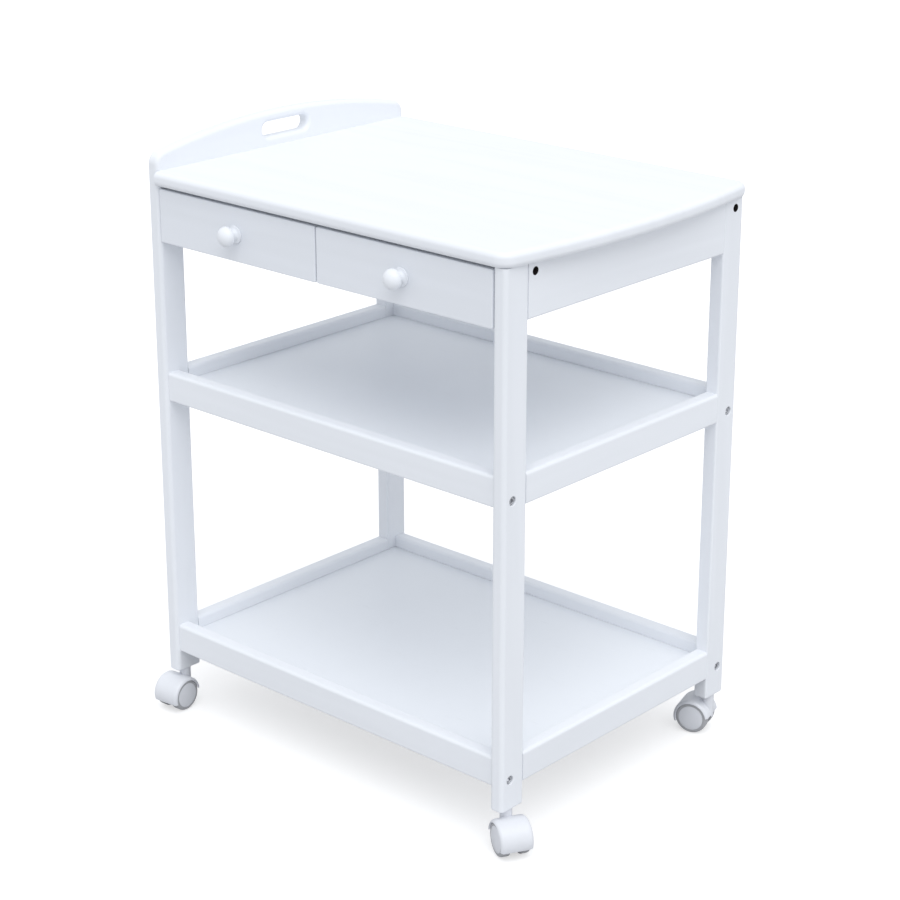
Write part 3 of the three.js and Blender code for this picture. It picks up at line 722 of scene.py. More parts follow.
@dataclass(frozen=True)
class BoredWood:
    """The inside of an open bore, painted near-black as painted shade for a deep hole, with the drill's scores.

    Attributes:
        colour: The painted shade's near-black colour.
        score_colour: The colour of the scores.
    """

    # Painted shade: these near-black colours stand in for the darkness deep inside the bore.
    colour: tuple = (0.035, 0.028, 0.026, 1.0)
    score_colour: tuple = (0.012, 0.010, 0.010, 1.0)

    def made(self) -> bpy.types.Material:
        """The material."""
        material, sheet, place = new_material("bored_wood")
        scores = sheet.add("ShaderNodeMapping", {"Vector": place, "Scale": (8.0, 1.0, 1.0)}).outputs[0]
        scores = sheet.noise(scores, 700.0, 4.0, 0.6)
        colour = sheet.blend(scores, self.colour, self.score_colour)
        rough = sheet.ramp(scores, 0.3, 0.7, 0.8, 0.95)
        normal = sheet.bump(scores, 0.0002, 0.5)
        close_material(sheet, {"Base Color": colour, "Roughness": rough, "Normal": normal, "Specular IOR Level": 0.2})
        return material


@dataclass(frozen=True)
class StudioPaper:
    """The pale floor that the table stands on.

    Attributes:
        colour: The paper's colour.
        shade_colour: Its slightly darker patches.
        glow_colour: How brightly the camera sees it lit from below.
    """

    colour: tuple = (0.55, 0.55, 0.555, 1.0)
    shade_colour: tuple = (0.535, 0.535, 0.54, 1.0)
    glow_colour: tuple = (0.56, 0.56, 0.56, 1.0)

    def made(self) -> bpy.types.Material:
        """The material."""
        material, sheet, place = new_material("studio_paper")
        colour = sheet.blend(sheet.noise(place, 3.0, 4.0), self.colour, self.shade_colour)
        normal = sheet.bump(sheet.noise(place, 600.0, 2.0), 0.00005, 0.1)
        seen = sheet.add("ShaderNodeLightPath").outputs["Is Camera Ray"]
        glow = sheet.blend(seen, (0.0, 0.0, 0.0, 1.0), self.glow_colour)
        close_material(sheet, {
            "Base Color": colour, "Roughness": 0.85, "Normal": normal, "Specular IOR Level": 0.2,
            "Emission Color": glow, "Emission Strength": 1.0,
        })
        return material


@dataclass(frozen=True)
class Wardrobe:
    """Every material of the table, made once.

    Attributes:
        timber: The paint on the frame, by the direction of its grain.
        drawer: The paint on the drawers, by the direction of its grain.
        panel: The trays' floors.
        plastic: The castors' housings.
        tread: The treads of the castors' wheels.
        steel: Bolts and axles.
        bored: The painted shade on the insides of the two open bores.
    """

    timber: dict
    drawer: dict
    panel: bpy.types.Material
    plastic: bpy.types.Material
    tread: bpy.types.Material
    steel: bpy.types.Material
    bored: bpy.types.Material

    @classmethod
    def filled(cls) -> "Wardrobe":
        """Makes every material."""
        frame_paint = PaintedTimber()
        drawer_paint = PaintedTimber(
            label="drawer_paint", colour=(0.80, 0.825, 0.875, 1.0), hollow_colour=(0.765, 0.79, 0.835, 1.0),
        )
        tread = MouldedPlastic(
            label="wheel_tread", colour=(0.44, 0.445, 0.465, 1.0), flow_colour=(0.40, 0.405, 0.425, 1.0),
            scuff_colour=(0.52, 0.52, 0.53, 1.0), gloss=0.5, wear=0.6,
        )
        return cls(
            timber={run: frame_paint.made(run) for run in Run},
            drawer={run: drawer_paint.made(run) for run in Run},
            panel=PaintedPanel().made(),
            plastic=MouldedPlastic().made(),
            tread=tread.made(),
            steel=ZincSteel().made(),
            bored=BoredWood().made(),
        )


# ---------- Handing pieces over ----------


def settle(
    piece: bpy.types.Object, body: str, slot: Slot, material: bpy.types.Material, *nodes: str,
) -> bpy.types.Object:
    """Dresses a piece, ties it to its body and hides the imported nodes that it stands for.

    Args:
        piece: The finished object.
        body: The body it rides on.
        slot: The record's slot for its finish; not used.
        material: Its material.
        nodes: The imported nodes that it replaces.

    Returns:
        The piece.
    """
    piece.data.materials.clear()
    piece.data.materials.append(material)
    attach(piece, body)
    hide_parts(*nodes)
    log.info("%s: %d faces on %s", piece.name, len(piece.data.polygons), body)
    return piece


def accent(piece: bpy.types.Object, material: bpy.types.Material, chosen: Callable[[Vector], bool]) -> None:
    """Gives some faces of a settled piece a second material.

    Args:
        piece: The piece.
        material: The second material.
        chosen: Whether a face with this middle gets it.
    """
    piece.data.materials.append(material)
    for face in piece.data.polygons:
        if chosen(face.center):
            face.material_index = 1


def dress(node: str, material: bpy.types.Material) -> None:
    """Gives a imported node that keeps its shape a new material."""
    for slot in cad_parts[node].material_slots:
        slot.material = material
    log.info("%s: kept, %s", node, material.name)


# ---------- Legs ----------


@dataclass(frozen=True)
class Bore:
    """A round hole with a softened mouth.

    Attributes:
        radius: The hole's radius.
        depth: Its depth.
        mouth: The radius of its softened edge.
    """

    radius: float
    depth: float
    mouth: float = 0.0006

    def tool(self, centre: Vector, outward: Vector) -> bpy.types.Object:
        """The cutter for the hole.

        Args:
            centre: The middle of the hole's mouth, on the face.
            outward: The direction out of the hole.

        Returns:
            The cutter, ready to carve with.
        """
        edge = arc((self.radius + self.mouth, -self.mouth), self.mouth, math.pi, math.pi / 2, 4)
        top = self.radius + self.mouth
        profile = [(0, -self.depth), (self.radius, -self.depth), *edge, (top, SPARE), (0, SPARE)]
        return Solid().turn(profile, facing(centre, outward), 40).made("bore")

    def inside(self, centre: Vector, outward: Vector) -> Callable[[Vector], bool]:
        """A test for a place on the hole's wall or floor, below its softened mouth.

        Args:
            centre: The middle of the hole's mouth.
            outward: The direction that the mouth faces.

        Returns:
            The test, which takes the place.
        """
        def test(place: Vector) -> bool:
            """Whether this place is in the hole."""
            offset = place - centre
            depth = -offset.dot(outward)
            away = (offset + outward * depth).length
            return self.mouth < depth < self.depth + self.mouth and away < self.radius + self.mouth

        return test


@dataclass(frozen=True)
class Leg:
    """One plank leg, its outer arrises well rounded, bored for its bolts and its castor.

    Attributes:
        corner: Where it stands.
        arris: The radius of its two outer arrises.
        inner_arris: The radius of the two that face along the table.
        foot_round: The radius round its foot.
        counterbore: The recess for a bolt's head.
        socket: The hole for the castor's stem.
        end_hole: The open hole under the top, in the back foot leg.
        end_hole_inset: How far that hole's middle lies from the leg's outer side.
        end_hole_drop: How far it lies below the leg's top.
    """

    corner: Corner
    arris: float = 0.007
    inner_arris: float = 0.003
    foot_round: float = 0.0025
    counterbore: Bore = Bore(0.0068, 0.007, 0.0008)
    socket: Bore = Bore(0.0056, 0.0345, 0.0004)
    end_hole: Bore = Bore(0.006, 0.015)
    end_hole_inset: float = 0.020
    end_hole_drop: float = 0.0135

    @property
    def node(self) -> str:
        """The node that the leg stands for."""
        return f"leg_{self.corner.label}"

    def built(self) -> bpy.types.Object:
        """The leg's finished mesh."""
        low, high = node_box(self.node)
        big, small = self.arris, self.inner_arris
        radii = (big, big, small, small) if self.corner.value[1] < 0 else (small, small, big, big)
        section = Section((low[0], low[1]), (high[0], high[1]), radii, 10)
        foot = levels(low[2], high[2], self.foot_round)[:-7]
        plank = Solid().prism(Run.Z, section.ring, [*foot, (high[2], 0.0)]).made(self.node + "_plank")
        return smooth(carve(plank, Carving.CUT, *self.tools(low, high)))

    def tools(self, low: Vector, high: Vector) -> list[bpy.types.Object]:
        """The cutters for the leg's holes.

        Args:
            low: The leg's lowest corner.
            high: Its highest corner.

        Returns:
            One cutter for each hole.
        """
        outward = self.corner.outward
        face = high.x if outward.x > 0 else low.x
        centre = (low + high) / 2
        tools = [self.socket.tool(Vector((centre.x, centre.y, low.z)), Vector((0, 0, -1)))]
        for tray in ("low", "middle"):
            bolt = middle(f"bolt_{tray}_{self.corner.label}")
            tools.append(self.counterbore.tool(Vector((face, bolt.y, bolt.z)), outward))
        if self.has_end_hole:
            tools.append(self.end_hole.tool(self.end_hole_mouth(high), outward))
        return tools

    @property
    def has_end_hole(self) -> bool:
        """Whether the leg is the one with the open hole."""
        return self.corner is Corner.BACK_FOOT

    def end_hole_mouth(self, high: Vector) -> Vector:
        """The middle of the open hole's mouth, from the leg's highest corner."""
        return Vector((high.x, high.y - self.end_hole_inset, high.z - self.end_hole_drop))

    def add(self, wardrobe: Wardrobe) -> None:
        """Builds the leg and hands it over."""
        leg = settle(self.built(), "frame", Slot.PAINTED_WOOD, wardrobe.timber[Run.Z], self.node)
        if self.has_end_hole:
            mouth = self.end_hole_mouth(node_box(self.node)[1])
            # The hole's wall and floor get the painted shade material.
            accent(leg, wardrobe.bored, self.end_hole.inside(mouth, self.corner.outward))


# ---------- Bolts ----------


@dataclass(frozen=True)
class BoltSet:
    """The socket-head bolts through the legs, one head set on each point by Geometry Nodes.

    Attributes:
        head_depth: The head's height for a head of radius 1.
        rim: The radius of the head's edge, likewise.
        socket: The socket's width across its flats, likewise.
        socket_depth: The socket's depth, likewise.
        head_radius: The heads' real radius.
        seed: The seed for how far each head is turned.
    """

    head_depth: float = 0.75
    rim: float = 0.16
    socket: float = 0.98
    socket_depth: float = 0.5
    head_radius: float = 0.006
    seed: int = 11

    def head(self) -> bpy.types.Object:
        """A head of radius 1, its face at z = 0 and a six-sided socket in it."""
        flat = self.socket / 2
        rim = arc((1 - self.rim, -self.rim), self.rim, math.pi / 2, 0, 5)
        inside = [(0, -self.socket_depth), (flat, -self.socket_depth), (flat, -0.06), (flat + 0.06, 0)]
        profile = [*inside, *rim, (1, -self.head_depth), (0, -self.head_depth)]

        def six_sided(index: int, angle: float) -> float:
            """A share of 1 on the flats of the socket and more on its corners."""
            turn = (angle + math.pi / 6) % (math.pi / 3) - math.pi / 6
            return 1 / math.cos(turn) if index < len(inside) else 1.0

        return smooth(Solid().turn(profile, Matrix(), 48, six_sided).made("bolt_head_pattern"))

    def tree(self) -> bpy.types.NodeTree:
        """The node tree that sets a head on each point, looking along the point's outward direction."""
        tree = bpy.data.node_groups.new("Bolt setting", "GeometryNodeTree")
        ports = tree.interface
        ports.new_socket("Geometry", in_out="INPUT", socket_type="NodeSocketGeometry")
        ports.new_socket("Head", in_out="INPUT", socket_type="NodeSocketObject")
        ports.new_socket("Head Radius", in_out="INPUT", socket_type="NodeSocketFloat")
        ports.new_socket("Turn Seed", in_out="INPUT", socket_type="NodeSocketInt")
        ports.new_socket("Finish", in_out="INPUT", socket_type="NodeSocketMaterial")
        ports.new_socket("Geometry", in_out="OUTPUT", socket_type="NodeSocketGeometry")
        sheet = NodeSheet(tree)
        given, result = sheet.add("NodeGroupInput"), sheet.add("NodeGroupOutput")
        pattern = sheet.add("GeometryNodeObjectInfo", {"Object": given.outputs["Head"]}, transform_space="ORIGINAL")
        outward = sheet.add("GeometryNodeInputNamedAttribute", {"Name": "outward"}, data_type="FLOAT_VECTOR")
        aligned = sheet.add("FunctionNodeAlignRotationToVector", {"Vector": outward.outputs[0]}, axis="Z")
        turns = sheet.add("FunctionNodeRandomValue", {2: 0.0, 3: math.pi / 3, "Seed": given.outputs["Turn Seed"]})
        about = sheet.add("FunctionNodeAxisAngleToRotation", {"Axis": (0, 0, 1), "Angle": turns.outputs[1]})
        turned = sheet.add(
            "FunctionNodeRotateRotation",
            {"Rotation": aligned.outputs[0], "Rotate By": about.outputs[0]}, rotation_space="LOCAL",
        )
        size = sheet.add("ShaderNodeCombineXYZ", {axis: given.outputs["Head Radius"] for axis in "XYZ"})
        heads = sheet.add("GeometryNodeInstanceOnPoints", {
            "Points": given.outputs["Geometry"], "Instance": pattern.outputs["Geometry"],
            "Rotation": turned.outputs[0], "Scale": size.outputs[0],
        })
        plain = sheet.add("GeometryNodeRealizeInstances", {"Geometry": heads.outputs[0]})
        dressed = sheet.add("GeometryNodeSetMaterial", {
            "Geometry": plain.outputs[0], "Material": given.outputs["Finish"],
        })
        tree.links.new(dressed.outputs[0], result.inputs["Geometry"])
        return tree

    def points(self, nodes: dict[str, Corner]) -> bpy.types.Object:
        """A mesh of bare points, one on the middle of each head's face.

        Args:
            nodes: The bolts' nodes, each with its corner.

        Returns:
            The object, with each point's outward direction as an attribute.
        """
        places, directions = [], []
        for node, corner in nodes.items():
            low, high = node_box(node)
            face = high[0] if corner.outward.x > 0 else low[0]
            centre = middle(node)
            places.append((face, centre.y, centre.z))
            directions.append(corner.outward)
        mesh = bpy.data.meshes.new("leg_bolts")
        mesh.from_pydata(places, [], [])
        outward = mesh.attributes.new("outward", "FLOAT_VECTOR", "POINT")
        for index, direction in enumerate(directions):
            outward.data[index].vector = direction
        points = bpy.data.objects.new("leg_bolts", mesh)
        bpy.context.scene.collection.objects.link(points)
        return points

    def add(self, wardrobe: Wardrobe) -> None:
        """Builds every head as one plain mesh and hands it over."""
        nodes = {f"bolt_{tray}_{corner.label}": corner for corner in Corner for tray in ("low", "middle")}
        heads, pattern = self.points(nodes), self.head()
        modifier = heads.modifiers.new("Bolt setting", "NODES")
        modifier.node_group = self.tree()
        given = {
            "Head": pattern, "Head Radius": self.head_radius, "Turn Seed": self.seed, "Finish": wardrobe.steel,
        }
        for port in modifier.node_group.interface.items_tree:
            if port.in_out == "INPUT" and port.name in given:
                modifier[port.identifier] = given[port.name]
        plain = evaluated_copy(heads)
        heads.modifiers.clear()
        heads.data = plain
        bpy.data.objects.remove(pattern)
        settle(heads, "frame", Slot.ZINC_STEEL, wardrobe.steel, *nodes)


# ---------- Top, headboard and aprons ----------


@dataclass(frozen=True)
class TopSlab:
    """The changing surface: straight sides, a bowed foot end, and a bullnose round its three free edges.

    Attributes:
        bow: How far the foot end bows out.
        corner_radius: The radius of the two foot corners.
        edge_round: The radius of its upper and lower edges.
    """

    bow: float = 0.025
    corner_radius: float = 0.024
    edge_round: float = 0.0085
    node: str = "table_top"

    def ring(self, inset: float) -> Ring:
        """The slab's outline, drawn in from its free edges.

        Args:
            inset: How far the free edges are drawn in.

        Returns:
            The outline's points, counter-clockwise.
        """
        low, high = node_box(self.node)
        centre_y, half = (low[1] + high[1]) / 2, (high[1] - low[1]) / 2
        sweep = (half ** 2 + self.bow ** 2) / (2 * self.bow)
        bow_x = high[0] - sweep
        corner_y = half - self.corner_radius
        corner_x = bow_x + math.sqrt((sweep - self.corner_radius) ** 2 - corner_y ** 2)
        turn = math.atan2(corner_y, corner_x - bow_x)
        near = arc((corner_x, centre_y - corner_y), self.corner_radius - inset, -math.pi / 2, -turn, 12)
        bow = arc((bow_x, centre_y), sweep - inset, -turn, turn, 56)[1:-1]
        far = arc((corner_x, centre_y + corner_y), self.corner_radius - inset, turn, math.pi / 2, 12)
        return [(low[0], centre_y - half + inset), *near, *bow, *far, (low[0], centre_y + half - inset)]

    def add(self, wardrobe: Wardrobe) -> None:
        """Builds the slab and hands it over."""
        low, high = node_box(self.node)
        slab = Solid().prism(Run.Z, self.ring, levels(low[2], high[2], self.edge_round, 8)).made("top_slab")
        settle(smooth(slab), "frame", Slot.PAINTED_WOOD, wardrobe.timber[Run.X], self.node)


@dataclass(frozen=True)
class Headboard:
    """The arched board over the head legs, with a slot for a hand.

    Attributes:
        arch: How far the arch rises over the board's sides.
        corner_radius: The radius of its two upper corners.
        edge_round: The radius round its edges and round the slot.
        slot_length: The slot's length.
        slot_height: Its height.
        slot_rise: How far its middle lies above the board's foot.
    """

    arch: float = 0.030
    corner_radius: float = 0.020
    edge_round: float = 0.007
    slot_length: float = 0.096
    slot_height: float = 0.023
    slot_rise: float = 0.048
    node: str = "headboard"

    def ring(self, inset: float) -> Ring:
        """The board's outline in Y and Z, drawn in from its free edges.

        Args:
            inset: How far the free edges are drawn in.

        Returns:
            The outline's points, counter-clockwise.
        """
        low, high = node_box(self.node)
        centre, half = (low[1] + high[1]) / 2, (high[1] - low[1]) / 2
        sweep = (half ** 2 + self.arch ** 2) / (2 * self.arch)
        arch_z = high[2] - sweep
        corner = half - self.corner_radius
        corner_z = arch_z + math.sqrt((sweep - self.corner_radius) ** 2 - corner ** 2)
        turn = math.atan2(corner_z - arch_z, corner)
        right = arc((centre + corner, corner_z), self.corner_radius - inset, 0, turn, 10)
        arch = arc((centre, arch_z), sweep - inset, turn, math.pi - turn, 56)[1:-1]
        left = arc((centre - corner, corner_z), self.corner_radius - inset, math.pi - turn, math.pi, 10)
        return [(centre - half + inset, low[2]), (centre + half - inset, low[2]), *right, *arch, *left]

    def slot_ring(self, grown: float) -> Ring:
        """The slot's outline, grown all round: a bar with half-round ends."""
        low, high = node_box(self.node)
        centre, rise = (low[1] + high[1]) / 2, low[2] + self.slot_rise
        reach, radius = (self.slot_length - self.slot_height) / 2, self.slot_height / 2 + grown
        right = arc((centre + reach, rise), radius, -math.pi / 2, math.pi / 2, 18)
        left = arc((centre - reach, rise), radius, math.pi / 2, math.pi * 1.5, 18)
        return [*right, *left]

    def add(self, wardrobe: Wardrobe) -> None:
        """Builds the board and hands it over."""
        low, high = node_box(self.node)
        places = levels(low[0], high[0], self.edge_round, 8)
        board = Solid().prism(Run.X, self.ring, places).made("headboard_arch")
        through = [(low[0] - SPARE, self.edge_round), *places, (high[0] + SPARE, self.edge_round)]
        slot = Solid().prism(Run.X, self.slot_ring, through).made("slot")
        board = smooth(carve(board, Carving.CUT, slot))
        settle(board, "frame", Slot.PAINTED_WOOD, wardrobe.timber[Run.Y], self.node)


@dataclass(frozen=True)
class Apron:
    """A board under the top, from leg to leg.

    Attributes:
        node: The node that it stands for.
        run: The direction that it runs in.
        arris: The radius of its two lower arrises.
        hole: An open hole in its outer face, if it has one.
        hole_inset: How far that hole's middle lies from the apron's front end.
        hole_drop: How far it lies below the apron's top.
    """

    node: str
    run: Run
    arris: float = 0.003
    hole: Bore | None = None
    hole_inset: float = 0.014
    hole_drop: float = 0.0135

    def add(self, wardrobe: Wardrobe) -> None:
        """Builds the apron and hands it over."""
        low, high = node_box(self.node)
        across, up, along = self.run.value
        section = Section((low[across], low[up]), (high[across], high[up]), (self.arris, self.arris, 0, 0))
        board = Solid().prism(self.run, section.ring, levels(low[along], high[along], 0)).made(self.node + "_board")
        mouth, outward = Vector((high[0], low[1] + self.hole_inset, high[2] - self.hole_drop)), Vector((1, 0, 0))
        if self.hole:
            board = carve(board, Carving.CUT, self.hole.tool(mouth, outward))
        board = settle(smooth(board), "frame", Slot.PAINTED_WOOD, wardrobe.timber[self.run], self.node)
        if self.hole:
            # The hole's wall and floor get the painted shade material.
            accent(board, wardrobe.bored, self.hole.inside(mouth, outward))


# ---------- Trays ----------


@dataclass(frozen=True)
class Rail:
    """One rail of a tray, with the groove that holds the floor.

    Attributes:
        node: The node that it stands for.
        run: The direction that it runs in.
        groove_side: The face that the groove is in.
        floor: The node of the tray's floor.
        arris: The radius of its lower arrises.
        top_arris: The radius of its upper arrises.
        groove_depth: The groove's depth.
        slack: The groove's play over and under the floor.
    """

    node: str
    run: Run
    groove_side: Side
    floor: str
    arris: float = 0.003
    top_arris: float = 0.005
    groove_depth: float = 0.006
    slack: float = 0.0003

    def ring(self, _inset: float) -> Ring:
        """The rail's section, groove included."""
        low, high = node_box(self.node)
        across, up, _ = self.run.value
        radii = (self.arris, self.arris, self.top_arris, self.top_arris)
        section = Section((low[across], low[up]), (high[across], high[up]), radii)
        floor_low, floor_high = node_box(self.floor)
        bottom, top = floor_low[2] - self.slack, floor_high[2] + self.slack
        face = high[across] if self.groove_side is Side.HIGH else low[across]
        back = face - self.groove_side.value * self.groove_depth
        groove = [(face, bottom), (back, bottom), (back, top), (face, top)]
        south_west, south_east, north_east, north_west = section.corners()
        if self.groove_side is Side.HIGH:
            return [*south_west, *south_east, *groove, *north_east, *north_west]
        return [*south_west, *south_east, *north_east, *north_west, *reversed(groove)]

    def add(self, wardrobe: Wardrobe) -> None:
        """Builds the rail and hands it over."""
        low, high = node_box(self.node)
        along = self.run.value[2]
        rail = Solid().prism(self.run, self.ring, levels(low[along], high[along], 0)).made(self.node + "_grooved")
        settle(smooth(rail), "frame", Slot.PAINTED_WOOD, wardrobe.timber[self.run], self.node)


@dataclass(frozen=True)
class Tray:
    """Four rails round a sheet floor.

    Attributes:
        name: The start of its nodes' names.
    """

    name: str

    def add(self, wardrobe: Wardrobe) -> None:
        """Builds the rails, dresses the floor and hands them over."""
        floor = f"{self.name}_floor"
        rails = (
            ("rail_front", Run.X, Side.HIGH), ("rail_back", Run.X, Side.LOW),
            ("rail_head_end", Run.Y, Side.HIGH), ("rail_foot_end", Run.Y, Side.LOW),
        )
        for part, run, groove_side in rails:
            Rail(f"{self.name}_{part}", run, groove_side, floor).add(wardrobe)
        dress(floor, wardrobe.panel)


# ---------- Drawers ----------


@dataclass(frozen=True)
class Knob:
    """A turned knob: a spread foot, a waisted neck and a domed head.

    Attributes:
        radius: The head's radius.
        foot_radius: The foot's radius.
        foot_thickness: The thickness of the foot's edge.
        neck_radius: The neck's radius at its waist.
        neck_height: The height of the waist.
        head_height: The height at which the head starts.
        rim: The radius of the head's edge.
        rim_height: The height of the head's widest part.
        projection: The whole height.
    """

    radius: float = 0.0152
    foot_radius: float = 0.0135
    foot_thickness: float = 0.002
    neck_radius: float = 0.0065
    neck_height: float = 0.010
    head_height: float = 0.013
    rim: float = 0.003
    rim_height: float = 0.0165
    projection: float = 0.029

    def profile(self) -> Ring:
        """The knob's profile as pairs of radius and height, from its foot to its crown."""
        edge = self.foot_thickness / 2
        foot = arc((self.foot_radius - edge, edge), edge, -math.pi / 2, math.pi / 2, 8)
        flare, climb = self.foot_radius - edge - self.neck_radius, self.neck_height - self.foot_thickness
        quarters = [math.pi / 2 * step / 12 for step in range(1, 13)]
        waist = [
            (self.neck_radius + flare * (1 - math.sin(angle)), self.neck_height - climb * math.cos(angle))
            for angle in quarters
        ]
        hollow_radius = self.head_height - self.neck_height
        hollow = arc((self.neck_radius + hollow_radius, self.neck_height), hollow_radius, math.pi, math.pi / 2, 7)[1:]
        rim = arc((self.radius - self.rim, self.rim_height), self.rim, -math.pi / 2, 0, 8)
        rise = self.projection - self.rim_height
        crown = [
            (self.radius * math.cos(angle), self.rim_height + rise * math.sin(angle))
            for angle in (math.pi / 2 * step / 20 for step in range(1, 20))
        ]
        return [(0, 0), *foot, *waist, *hollow, *rim, *crown, (0, self.projection)]

    def built(self, node: str) -> bpy.types.Object:
        """The knob's finished mesh, its foot on the back of the node's box."""
        foot = Vector((middle(node).x, node_box(node)[1].y, middle(node).z))
        return smooth(Solid().turn(self.profile(), facing(foot, Vector((0, -1, 0))), 72).made(f"{node}_turned"))


@dataclass(frozen=True)
class Drawer:
    """A drawer that slides towards -Y.

    Attributes:
        name: Its body's name, and the start of its nodes' names.
        arris: The radius of the front board's corners.
        face_round: The radius round the front board's two faces.
    """

    name: str
    arris: float = 0.003
    face_round: float = 0.002

    def add(self, wardrobe: Wardrobe) -> None:
        """Builds the front and the knob, dresses the box and hands them over."""
        front = f"{self.name}_front"
        low, high = node_box(front)
        section = Section((low[0], low[2]), (high[0], high[2]), (self.arris,) * 4)
        places = levels(low[1], high[1], self.face_round)
        board = smooth(Solid().prism(Run.Y, section.ring, places).made(f"{front}_board"))
        settle(board, self.name, Slot.DRAWER_PAINT, wardrobe.drawer[Run.X], front)
        knob = f"{self.name}_knob"
        settle(Knob().built(knob), self.name, Slot.PAINTED_WOOD, wardrobe.timber[Run.Y], knob)
        for part in ("outer_side", "inner_side"):
            dress(f"{self.name}_{part}", wardrobe.drawer[Run.Y])
        dress(f"{self.name}_back", wardrobe.drawer[Run.X])
        dress(f"{self.name}_bottom", wardrobe.panel)


# ---------- Castors ----------


@dataclass(frozen=True)
class Castor:
    """Two wheels on one axle under a hood, on a stem in the leg's foot.

    Attributes:
        corner: The leg that it stands under.
        heading: Its direction about the stem, in degrees.
        trail: How far the axle lies from the stem.
        wheel_radius: The wheels' radius.
        wheel_width: Their width.
        wheel_gap: How far a wheel's inner face lies from the middle.
        cap_radius: The radius of a wheel's domed cap.
        hood_gap: The play between wheel and hood.
        hood_thickness: The hood's thickness.
        hood_half_width: Half the hood's width.
        hood_shoulder: The radius with which the hood turns down over the wheels' sides.
        hood_start: Where the hood starts round the axle, in degrees.
        hood_end: Where it ends.
        web_half_width: Half the thickness of the web between the wheels.
        hub_radius: The radius of the web's end round the axle.
        boss_radius: The radius of the boss under the leg.
        clearance: The gap between boss and leg.
    """

    corner: Corner
    heading: float
    trail: float = 0.020
    wheel_radius: float = 0.0255
    wheel_width: float = 0.016
    wheel_gap: float = 0.0085
    cap_radius: float = 0.0198
    hood_gap: float = 0.0008
    hood_thickness: float = 0.0027
    hood_half_width: float = 0.0252
    hood_shoulder: float = 0.006
    hood_start: float = -20
    hood_end: float = 172
    web_half_width: float = 0.0075
    hub_radius: float = 0.009
    boss_radius: float = 0.009
    stem_radius: float = 0.0053
    clearance: float = 0.0005

    @property
    def body(self) -> str:
        """The castor's body."""
        return f"castor_{self.corner.label}"

    @property
    def place(self) -> Matrix:
        """The castor's own frame: its stem upright at the origin, its axle towards +X."""
        centre = middle(f"leg_{self.corner.label}")
        return Matrix.Translation((centre.x, centre.y, 0)) @ Matrix.Rotation(math.radians(self.heading), 4, "Z")

    def round_axle(self, radius: float, angle: float) -> Point:
        """A point about the axle in the castor's X and Z, from its radius and angle in radians."""
        return (self.trail + radius * math.cos(angle), self.wheel_radius + radius * math.sin(angle))

    def hood_section(self, inset: float) -> Ring:
        """The hood's section, as pairs of radius about the axle and place across.

        Args:
            inset: How far the section is drawn in all round.

        Returns:
            The section's points in order.
        """
        outer = self.wheel_radius + self.hood_gap + self.hood_thickness
        turn, lip = self.hood_shoulder, math.radians(72)
        radius, across = outer - turn, self.hood_half_width - turn
        wide, narrow = turn - inset, turn - self.hood_thickness + inset
        over = [*arc((radius, -across), wide, -lip, 0, 8), *arc((radius, across), wide, 0, lip, 8)]
        under = [*arc((radius, across), narrow, lip, 0, 8), *arc((radius, -across), narrow, 0, -lip, 8)]
        return over + under

    def hood(self) -> Solid:
        """The curved hood over both wheels, its ends rounded."""
        mean = self.wheel_radius + self.hood_gap + self.hood_thickness / 2
        start, end = math.radians(self.hood_start) * mean, math.radians(self.hood_end) * mean
        rings = []
        for along, inset in levels(start, end, 0.0008, 4, 60):
            spots = [(*self.round_axle(radius, along / mean), across) for radius, across in self.hood_section(inset)]
            rings.append([self.place @ Vector((x, across, z)) for x, z, across in spots])
        return Solid().loft(rings)

    def web(self) -> Solid:
        """The web between the wheels, from the hood down to the axle."""
        reach = self.wheel_radius + self.hood_gap + self.hood_thickness / 2
        start, end = math.radians(self.hood_start), math.radians(self.hood_end)
        over = [self.round_axle(reach, start + (end - start) * step / 48) for step in range(49)]
        hub = [self.round_axle(self.hub_radius, math.radians(190 + 130 * step / 14)) for step in range(15)]
        sides = (-self.web_half_width, self.web_half_width)
        return Solid().loft([[self.place @ Vector((x, side, z)) for x, z in over + hub] for side in sides])

    def boss(self, top: float) -> bpy.types.Object:
        """The round boss that carries the stem, hollowed underneath to sit on the hood.

        Args:
            top: The height of the boss's upper face.

        Returns:
            The boss with its stem.
        """
        stem_top = node_box(f"{self.body}_housing")[1][2]
        edge = arc((self.boss_radius - 0.0008, top - 0.0008), 0.0008, 0, math.pi / 2, 4)
        profile = [
            (0, self.wheel_radius), (self.boss_radius, self.wheel_radius), *edge,
            (self.stem_radius, top), (self.stem_radius, stem_top), (0, stem_top),
        ]
        boss = Solid().turn(profile, self.place, 48).made("boss")
        room = self.wheel_radius + self.hood_gap + self.hood_thickness / 2
        axle = self.place @ Vector((self.trail, 0, self.wheel_radius))
        across = self.place.to_3x3() @ Vector((0, 1, 0))
        half = self.hood_half_width
        clear = Solid().turn([(0, -half), (room, -half), (room, half), (0, half)], facing(axle, across), 96)
        return carve(boss, Carving.CUT, clear.made("wheel_room"))

    def housing(self) -> bpy.types.Object:
        """Hood, web, boss and stem, moulded in one."""
        top = node_box(f"leg_{self.corner.label}")[0][2] - self.clearance
        hood = self.hood().made(f"{self.body}_moulding")
        return smooth(carve(hood, Carving.WELD, self.web().made("web"), self.boss(top)))

